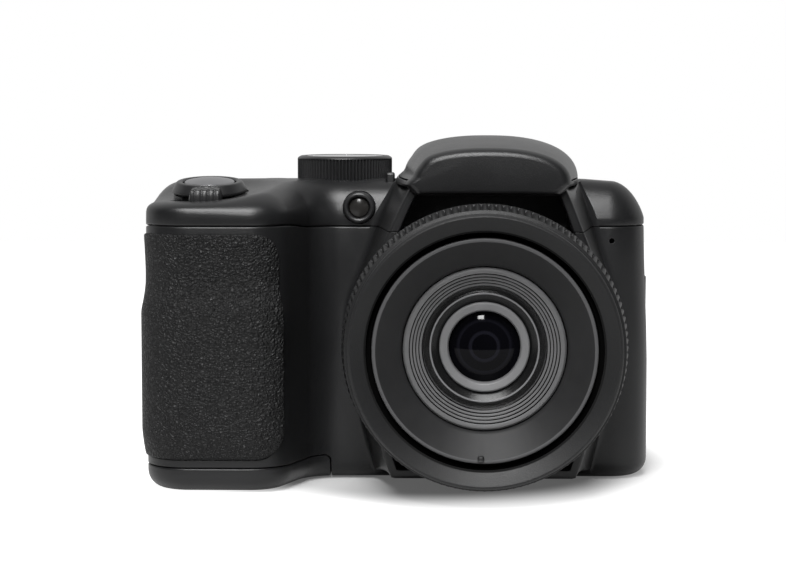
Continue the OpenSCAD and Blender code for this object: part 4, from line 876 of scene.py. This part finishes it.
def padForm(place, half, corner, edge, thick):
    # A pad with a rounded outline: rings from its rim inwards, its rim rolled over within edge; place puts a
    # point (a, b, height) of the pad on the object
    quarter = np.radians(np.linspace(0, 90, 9))
    turn = np.concatenate([quarter + k * math.pi / 2 for k in range(4)])
    sx, sy = np.repeat([1, -1, -1, 1], 9), np.repeat([1, 1, -1, -1], 9)
    rimA = sx * (half[0] - corner) + corner * np.cos(turn)
    rimB = sy * (half[1] - corner) + corner * np.sin(turn)
    far1 = np.concatenate([np.linspace(0, 1, 2 if k % 9 < 8 else 40)[:-1] + k for k in range(36)])
    rimA, rimB = (np.interp(far1, np.arange(37), np.append(v, v[0])) for v in (rimA, rimB))
    nearA = np.interp(far1, np.arange(37), np.append(np.cos(turn), 1.0))
    nearB = np.interp(far1, np.arange(37), np.append(np.sin(turn), 0.0))
    b = np.radians(np.linspace(0, 90, 8))[:, None]
    inA, inB = rimA - edge * (1 - np.cos(b)) * nearA, rimB - edge * (1 - np.cos(b)) * nearB
    share = np.concatenate([np.sin(b[:, 0]), np.ones(34)])[:, None]
    shrink = np.linspace(1, 0, 35)[1:, None]
    a = np.concatenate([inA, inA[-1] * shrink])
    c = np.concatenate([inB, inB[-1] * shrink])
    over = place(a, c, 0.06 + np.maximum(thick(a, c) - 0.06, 0.1) * share)
    under = place(a, c, 0 * a + 0.06)
    return sheetSolid(np.concatenate([under[::-1], over]), False, True)


skin = dict(low=7.4, high=56.8, rightX=-25.8, corner=6.0, edge=0.6, rearY=8.6, groove=0.3, swell=1.1,
            heights=(0, 6.8, 10, 14, 39, 42.5, 46, 48, 53, 57, 62),
            thick=(0.4, 0.45, 0.75, 1.0, 1.0, 0.55, 0.22, 0.2, 0.35, 0.5, 0.5))


def skinForm(grow=0.0, sink=0.0):
    # The skin lies on the shell's own outline, a along it and b up it; grown and sunk, it cuts its recess
    line = outline(frontStops, [0.0], [0.0], run=60, bend=60)[0]
    ahead = np.gradient(line, axis=0)
    out = np.stack([ahead[:, 1], -ahead[:, 0]], -1) / np.linalg.norm(ahead, axis=1)[:, None]
    length = np.concatenate([[0], np.cumsum(np.linalg.norm(np.diff(line, axis=0), axis=1))])
    front = int(np.argmin(line[:, 1]))
    start = np.interp(-skin["rearY"], -line[:front, 1], length[:front])
    beyond = (np.arange(len(line)) > front) & (line[:, 1] < -24)
    stop = np.interp(skin["rightX"], line[beyond, 0], length[beyond])
    mid, half = (start + stop) / 2, ((stop - start) / 2 + grow, (skin["high"] - skin["low"]) / 2 + grow)
    midZ = (skin["high"] + skin["low"]) / 2

    def place(a, b, height):
        x, y, nx, ny = (np.interp(a + mid, length, v) for v in (line[:, 0], line[:, 1], out[:, 0], out[:, 1]))
        return lean(np.stack([x + nx * (height - sink), y + ny * (height - sink), b + midZ], -1))

    def thick(a, b):
        z = b + midZ
        ny = -np.interp(a + mid, length, out[:, 1])
        base = glide(z, skin["heights"], skin["thick"])
        return base + skin["swell"] * step01((ny + 0.1) / 0.9) * step01((46.5 - z) / 7) * step01((z - 5) / 9)

    return padForm(place, half, skin["corner"] + grow, skin["edge"], thick)


def makeGripSkin():
    return settle(skinForm(), "gripSkin", "body", "grip_rubber", ["grip_skin"], 50)


def makeThumbRest():
    centre = (-43.0, 48.25)

    def place(a, b, height):
        return np.stack([a + centre[0], shell["rear"] + height, b + centre[1]], -1)

    def thick(a, b):
        return 0.7 + 1.1 * step01(1.25 - np.abs(a + 0.5) / 9) * step01(1.3 - np.abs(b) / 7)

    form = padForm(place, (10.0, 7.75), 4.0, 0.7, thick)
    return settle(form, "thumbRest", "body", "grip_rubber", ["thumb_rest"], 50)


for maker in (makeFrontShell, makeRearShell, makeTopCover, makeFlashHead, makeBatteryDoor, makeGripSkin,
              makeThumbRest):
    told("body piece", maker())

ring = dict(back=50.5, front=63.0, r=29.4, rear=31.1, bore=27.6, lip=25.4, seat=59.0, teeth=120, depth=0.95,
            knurlEnd=59.6)


def toothed(angle, count, depth):
    # Rounded teeth between sharp valleys, as cuts into a radius
    return -depth * (1 - np.abs(np.cos(angle * count / 2)))


def makeLensRing():
    # Ring with a knurl, a smooth rim in front and a dished face
    r, f, back, end, rear = (ring[key] for key in ("r", "front", "back", "knurlEnd", "rear"))
    lip, bore, seat = ring["lip"], ring["bore"], ring["seat"]

    def knurl(angle, at, reach):
        on = step01((reach - back - 0.4) / 0.5) * step01((end - reach) / 0.5) * (at > r + 0.3)
        return toothed(angle, ring["teeth"], ring["depth"]) * on

    profile = [[bore, back], [rear - 0.3, back], [rear, back + 0.5], [rear, back + 1.0], [r + 0.9, end - 0.6],
               [r + 0.8, end], [r - 0.1, end + 0.4], [r, end + 0.8], [r, f - 0.7], [r - 0.6, f],
               [lip + 0.5, f - 1.9], [lip, f - 2.4], [lip + 0.4, seat], [bore, seat]]
    form = turned(profile, lensOrigin, "lens", 0.25, ring["teeth"] * 8, knurl)
    return settle(form, "lensRing", "body", "lens_black", ["lens_ring"], 40)


def makeZoomBarrel():
    # Tube with a conical bezel, and a small nub on the bezel
    profile = [[23.1, 18], [24.3, 18], [24.3, 59.6], [24.05, 60.0], [23.4, 60], [18.3, 55.9], [17.85, 55.3],
               [17.85, 32], [19.05, 32], [19.05, 53.6], [23.1, 57.4]]
    form = turned(profile, lensOrigin, "lens", 0.22, 192)
    x, z = lensAt["x"], lensAt["z"]
    join(form, softBox([x - 1.5, -60.4, z - 23.9], [x - 0.1, -58.2, z - 22.5], 0.45))
    return settle(form, "zoomBarrel", "zoom_barrel", "lens_black", ["zoom_barrel"])


def makeInnerBarrel():
    # Stepped ridges inside its mouth: tooth gives the corners of one, as a share of the pitch and a depth
    s = ridge["front"]
    tooth = ((0, 0), (0.74, 0.06), (0.82, 0.75), (0.92, 0.75))
    ridges = [[ridge["r"] - (i + k) * ridge["pitch"], s - ridge["drop"] * i - down]
              for i in range(ridge["count"]) for k, down in tooth]
    profile = [[16.4, 28], [17.6, 28], [17.6, s - 0.4], [17.2, s], *ridges, [13.3, s - 4.4], [12.0, s - 4.4],
               [12.0, s - 3.0], [11.6, s - 3.0], [9.85, s - 4.6], [9.85, s - 6.6], [9.1, s - 6.6],
               [9.1, 45.8], [16.4, 45.8]]
    form = turned(profile, lensOrigin, "lens", 0.04, 192)
    return settle(form, "innerBarrel", "inner_barrel", "lens_black", ["inner_barrel"])


def makeRetainer():
    profile = [[7.8, 48.9], [9.8, 48.9], [9.8, 51.4], [9.5, 51.7], [8.1, 51.5], [7.8, 51.0]]
    form = turned(profile, lensOrigin, "lens", 0.12, 144)
    return settle(form, "frontRetainer", "inner_barrel", "lens_black", ["front_retainer"])


def makeFrontGlass():
    # A meniscus with its domed face forward
    rear = crown(9.0, 45.85, 0.35, 24)[-2:0:-1]
    profile = np.concatenate([[[0, 46.2]], rear, [[8.8, 45.85], [9.0, 46.05]], crown(9.0, 48.4, 2.0, 24)])
    form = turned(profile, lensOrigin, "lens", 0, 144)
    return settle(form, "frontGlass", "inner_barrel", "lens_glass", ["front_glass"])


for maker in (makeLensRing, makeZoomBarrel, makeInnerBarrel, makeRetainer, makeFrontGlass):
    told("lens piece", maker())


def makeShutter():
    r = shutter["r"]
    skirt = [[0, -5], [2, -5], [2, 0.6], [r - 0.25, 0.6], [r, 0.85], [r, 2.35], [r - 0.12, 2.7],
             [r - 0.35, 2.88]]
    profile = np.concatenate([skirt, crown(r - 0.6, 2.95, 0.65, 12)])
    form = turned(profile, shutterAt, shutterAxis, 0.08, 96)
    return settle(form, "shutterButton", "shutter_button", "shutter_metal", ["shutter_button"])


def alongShutter(points):
    # Puts points of the zoom lever's own frame on the tilted shutter axis
    c, s = math.cos(shutter["tilt"]), math.sin(shutter["tilt"])
    x, y, z = points[..., 0], points[..., 1], points[..., 2]
    return np.stack([x, c * y - s * z, s * y + c * z], -1) + shutterAt


def makeLever():
    # Collar round the shutter button with a ribbed finger tab; the tab's top swells over rounded ribs
    bore, r = shutter["bore"], shutter["leverR"]
    collar = [[bore, -3], [7, -3], [7, 0.3], [r - 0.2, 0.3], [r, 0.55], [r, 1.0], [7.5, 2.75], [7.2, 2.9],
              [6.4, 2.9], [bore, 2.6]]
    form = turned(collar, shutterAt, shutterAxis, 0.15, 96)
    half, near, tip = shutter["tabHalf"], -7.3, -r - shutter["tabReach"]
    x = np.linspace(-half, half, 61)
    y = np.linspace(near, tip, 25)
    ends = step01((half - np.abs(x)) / 0.7) ** 0.5
    share = ((y - near) / (tip - near))[:, None]
    fall = np.sqrt(np.clip(1 - np.clip(share - 0.72, 0, 1) ** 2 / 0.28 ** 2, 0, 1))
    rib = 0.22 * np.abs(np.sin(np.pi * (x + half) / 1.48))
    yy = y[:, None] + (0.45 * rib + 0.9 * (1 - ends)) * share ** 2
    top = -0.55 + (3.3 * fall + 0.18 * (1 - fall)) * (0.35 + 0.65 * ends) - rib * fall
    xx = np.broadcast_to(x, top.shape)
    over = np.stack([xx, yy, np.minimum(top, 2.8)], -1)
    under = np.stack([xx, yy, np.full(top.shape, -0.6)], -1)
    loop = np.concatenate([under[::-1], over])
    rows, cols = loop.shape[:2]
    faces = gridFaces(rows, cols, True, False)
    faces += [[k * cols for k in range(rows)], [k * cols + cols - 1 for k in range(rows)]]
    join(form, solid(alongShutter(loop), faces))
    carve(form, shutterBar(bore - 0.01, -1, 6, 96))
    return settle(form, "zoomLever", "zoom_lever", "control_black", ["zoom_lever"])


dial = dict(r=11.15, low=68.4, top=74.4, ridges=84, depth=0.5, shaft=2.5, shaftLow=63.4)


def makeDial():
    r, top, low, shaft, foot = (dial[key] for key in ("r", "top", "low", "shaft", "shaftLow"))

    def knurl(angle, at, reach):
        on = (at > r - 0.25) * step01((reach - low - 0.1) / 0.4) * step01((top - 0.6 - reach) / 0.3)
        return toothed(angle, dial["ridges"], dial["depth"]) * on

    profile = [[0, foot], [shaft, foot], [shaft, low], [r - 0.3, low], [r, low + 0.2], [r, low + 0.6],
               [r, top - 0.95], [r, top - 0.6], [r - 0.2, top - 0.35], [r - 0.8, top], [r - 1.7, top],
               [r - 1.8, top - 0.1], [r - 1.8, top - 0.5], [0, top - 0.5]]
    form = turned(profile, dialOrigin, "up", 0.12, dial["ridges"] * 8, knurl)
    return settle(form, "modeDial", "mode_dial", "control_black", ["mode_dial"], 40)


def makeDialDisc():
    low = dial["top"] - 0.5
    profile = [[0, low], [9.25, low], [9.25, low + 0.25], [9.1, low + 0.4], [0, low + 0.4]]
    form = turned(profile, dialOrigin, "up", 0.08, 120)
    for k in range(8):
        turn = 2 * math.pi * k / 8
        x, y = dialAt["x"] + 7.4 * math.cos(turn), dialAt["y"] + 7.4 * math.sin(turn)
        carve(form, drum([x, y, 0], "up", 0.55, low + 0.32, 76, 24))
    return settle(form, "dialDisc", "mode_dial", "bright_metal", ["dial_disc"])


def keyForm(origin, axis, r, base, top, stem, collar, dish=0.25):
    # A button with a rounded rim and a faintly dished top, its collar kept inside the shell
    over = base + collar
    side = [[0, stem], [r, stem], [r, base], [r + 0.8, base], [r + 0.8, over], [r, over], [r, top - 0.45],
            [r - 0.13, top - 0.13]]
    return turned(np.concatenate([side, crown(r - 0.45, top, -dish)]), origin, axis, 0.06, 64)


def makeRearKeys():
    made = []
    for name, (x, z, r, proud) in rearKeys.items():
        slot = "record_red" if name == "record" else "control_black"
        form = keyForm([x, 0, z], "rear", r, 14.2, shell["rear"] + proud, 13.2, 0.8)
        made.append(settle(form, name + "Key", name + "_button", slot, [name + "_button"]))
    return made


def makeTopKeys():
    made = []
    for name, (x, y, r, proud) in topKeys.items():
        top = float(deckAt(np.array(x), np.array(y))) + proud
        form = keyForm([x, y, 0], "up", r, 64.2, top, 63.2, 0.8, 0.12)
        made.append(settle(form, name + "Key", name + "_button", "control_black", [name + "_button"]))
    return made


def makePad():
    r, rear = pad["r"], shell["rear"]
    profile = [[4.7, 13.9], [r + 0.9, 13.9], [r + 0.9, 14.5], [r, 14.5], [r, rear + 0.4],
               [r - 0.5, rear + 0.9], [r - 1.2, rear + 0.85], [5.4, rear + 0.45], [4.7, rear + 0.3],
               [4.4, rear], [4.4, 14.3]]
    form = turned(profile, padOrigin, "rear", 0.2, 120)
    for k in range(4):
        turn = math.pi * k / 2
        x, z = pad["x"] + 7.2 * math.cos(turn), pad["z"] + 7.2 * math.sin(turn)
        carve(form, drum([x, 0, z], "rear", 0.5, rear + 0.45, rear + 3, 24))
    return settle(form, "fourWayPad", "four_way_pad", "control_black", ["four_way_pad"])


def makeSetKey():
    r, rear = pad["setR"], shell["rear"]
    side = [[0, 13.2], [1.2, 13.2], [1.2, 14.5], [r, 14.5], [r, rear + 0.1], [r - 0.1, rear + 0.35]]
    profile = np.concatenate([side, crown(r - 0.4, rear + 0.45, 0.15)])
    form = turned(profile, padOrigin, "rear", 0.06, 64)
    return settle(form, "setKey", "set_button", "control_black", ["set_button"])


def makeLamp():
    r = lamp["r"]
    rim = [[2.4, 14.7], [r, 14.7], [r, 17.3], [r - 0.25, 17.9], [3.05, 18.2], [2.65, 18.05], [2.4, 17.6]]
    bezel = turned(rim, lampOrigin, "lens", 0.15, 72)
    settle(bezel, "lampBezel", "body", "control_black", ["lamp_bezel"])
    profile = np.concatenate([[[0, 15.2], [2.3, 15.2], [2.3, 17.05]], crown(2.1, 17.25, 0.35)])
    form = turned(profile, lampOrigin, "lens", 0.05, 64)
    return [bezel, settle(form, "lampLens", "body", "lamp_glass", ["lamp_lens"])]


def makeLugs():
    # A round bar bent to a ring at each end of the body, on a stem that enters the shoulder
    turn = np.linspace(0, 2 * math.pi, 28, endpoint=False)
    made = []
    for x in lugs["x"]:
        bar = np.stack([lugs["r"] + lugs["bar"] * np.cos(turn), lugs["y"] + lugs["bar"] * np.sin(turn)], -1)
        eyelet = turned(bar, [x, 0, lugs["z"]], "rear", 0, 72)
        side = 1 if x > 0 else -1
        stem = ((-0.7071 * side, 0, -0.7071), (0, 1, 0))
        bend = [[0, 2.0], [0.9, 2.0], [0.9, 6.0], [0, 6.0]]
        made.append(join(eyelet, turned(bend, [x, lugs["y"], lugs["z"]], stem, 0.1, 32)))
    return settle(together(*made), "strapLugs", "body", "bright_metal", ["strap_lugs"])


def makeFlashKey():
    form = flashKeyBlock(0, 0, 64.2, flashKey["top"], 0.5)
    join(form, flashKeyBlock(0.8, 0, 64.2, 65.0, 0.2))
    return settle(form, "flashKey", "flash_button", "control_black", ["flash_button"])


for maker in (makeShutter, makeLever, makeDial, makeDialDisc, makeTopKeys, makeRearKeys, makePad, makeSetKey,
              makeLamp, makeLugs, makeFlashKey):
    made = maker()
    for piece in made if isinstance(made, list) else [made]:
        told("control", piece)


def seenBy(tree, *names):
    # 1 for the kinds of ray that are named
    ray = tree.nodes.new("ShaderNodeLightPath")
    first, *rest = [Wire(tree, ray.outputs[name]) for name in names]
    for other in rest:
        first = first.math("MAXIMUM", other)
    return first


def paper(name, colour, glow):
    # Matt white paper that stays white to the camera and still takes the object's shadow; its white glow also
    # fades round a disc under the object as a painted shadow
    mat = bpy.data.materials.new(name)
    mat.use_nodes = True
    tree = mat.node_tree
    tree.nodes.clear()
    seen = seenBy(tree, "Is Camera Ray", "Is Glossy Ray", "Is Transmission Ray")
    beyondPaintedShadow = radiusFrom(seen.node("ShaderNodeTexCoord", {}, {}, "Object"), 8, 8, 0, 2).above(0.042, 0.068)
    matt = seen.node("ShaderNodeBsdfDiffuse", {}, {"Color": (*colour, 1)})
    shine = seenBy(tree, "Is Glossy Ray")
    # the white emission drops to glow under the object: a painted shadow
    level = seen * (beyondPaintedShadow * (1 - glow) + glow) * (1 - shine * 0.6)
    white = seen.node("ShaderNodeEmission", {}, {"Color": (1, 1, 1, 1), "Strength": level})
    out = tree.nodes.new("ShaderNodeOutputMaterial")
    tree.links.new(seen.node("ShaderNodeAddShader", {}, {0: matt, 1: white}).socket, out.inputs["Surface"])
    return mat


def lightSheet(name, at, toward, size, power):
    # A soft light of a given size in metres that faces a point
    light = bpy.data.lights.new(name, "AREA")
    light.shape, light.size, light.size_y, light.energy = "RECTANGLE", size[0], size[1], power
    holder = bpy.data.objects.new(name, light)
    holder.location = at
    holder.rotation_euler = (Vector(toward) - Vector(at)).to_track_quat("-Z", "Y").to_euler()
    bpy.context.scene.collection.objects.link(holder)
    return holder


# glow is the floor's white level inside the painted shadow under the object
stage = dict(half=650.0, front=-230.0, rear=800.0, floor=-0.3, glow=0.1, matt=0.5, world=0.04, room=0.04,
             backdrop=0.65)
h, z = stage["half"], stage["floor"]
f, b = stage["front"], stage["rear"]
ground = solid([[-h, f, z], [h, f, z], [h, b, z], [-h, b, z]], [[0, 1, 2, 3]])
ground.name = ground.data.name = "ground"
ground.data.materials.append(paper("whitePaper", (stage["matt"],) * 3, stage["glow"]))
lightSheet("overhead", (-0.06, -0.48, 0.76), (0.0, -0.02, 0.04), (0.5, 0.45), 10.2)
lightSheet("frontLamp", (-0.04, -0.9, 0.53), (0.0, 0.0, 0.04), (0.12, 0.1), 3.6)

world = bpy.data.worlds.new("studio")
bpy.context.scene.world = world
world.use_nodes = True
tree = world.node_tree
tree.nodes.clear()
seen, shine = seenBy(tree, "Is Camera Ray"), seenBy(tree, "Is Glossy Ray", "Is Transmission Ray")
way = seen.node("ShaderNodeSeparateXYZ", {}, {0: seen.node("ShaderNodeTexCoord", {}, {}, "Generated")}, 1)
# The white backdrop stands behind, the room in front is dark
behind = way.above(-0.05, 0.35) * (stage["backdrop"] - stage["room"]) + stage["room"]
level = (1 - seen) * ((1 - shine) * stage["world"] + shine * behind) + seen
sky = seen.node("ShaderNodeBackground", {}, {"Color": (1, 1, 1, 1), "Strength": level})
out = tree.nodes.new("ShaderNodeOutputWorld")
tree.links.new(sky.socket, out.inputs["Surface"])

view = dict(at=(13.31, -559.81, 91.6), turn=1.5, down=5.11, lens=108.2)
camera = bpy.data.cameras.new("photoCamera")
camera.sensor_fit, camera.sensor_width, camera.lens = "HORIZONTAL", 36.0, view["lens"]
camera.clip_start, camera.clip_end = 0.01, 20.0
eye = bpy.data.objects.new("photoCamera", camera)
eye.location = [v * mm for v in view["at"]]
eye.rotation_euler = (math.radians(90 - view["down"]), 0, math.radians(view["turn"]))
bpy.context.scene.collection.objects.link(eye)
bpy.context.scene.camera = eye
bpy.context.scene.view_settings.view_transform = "Standard"
print("stage set")
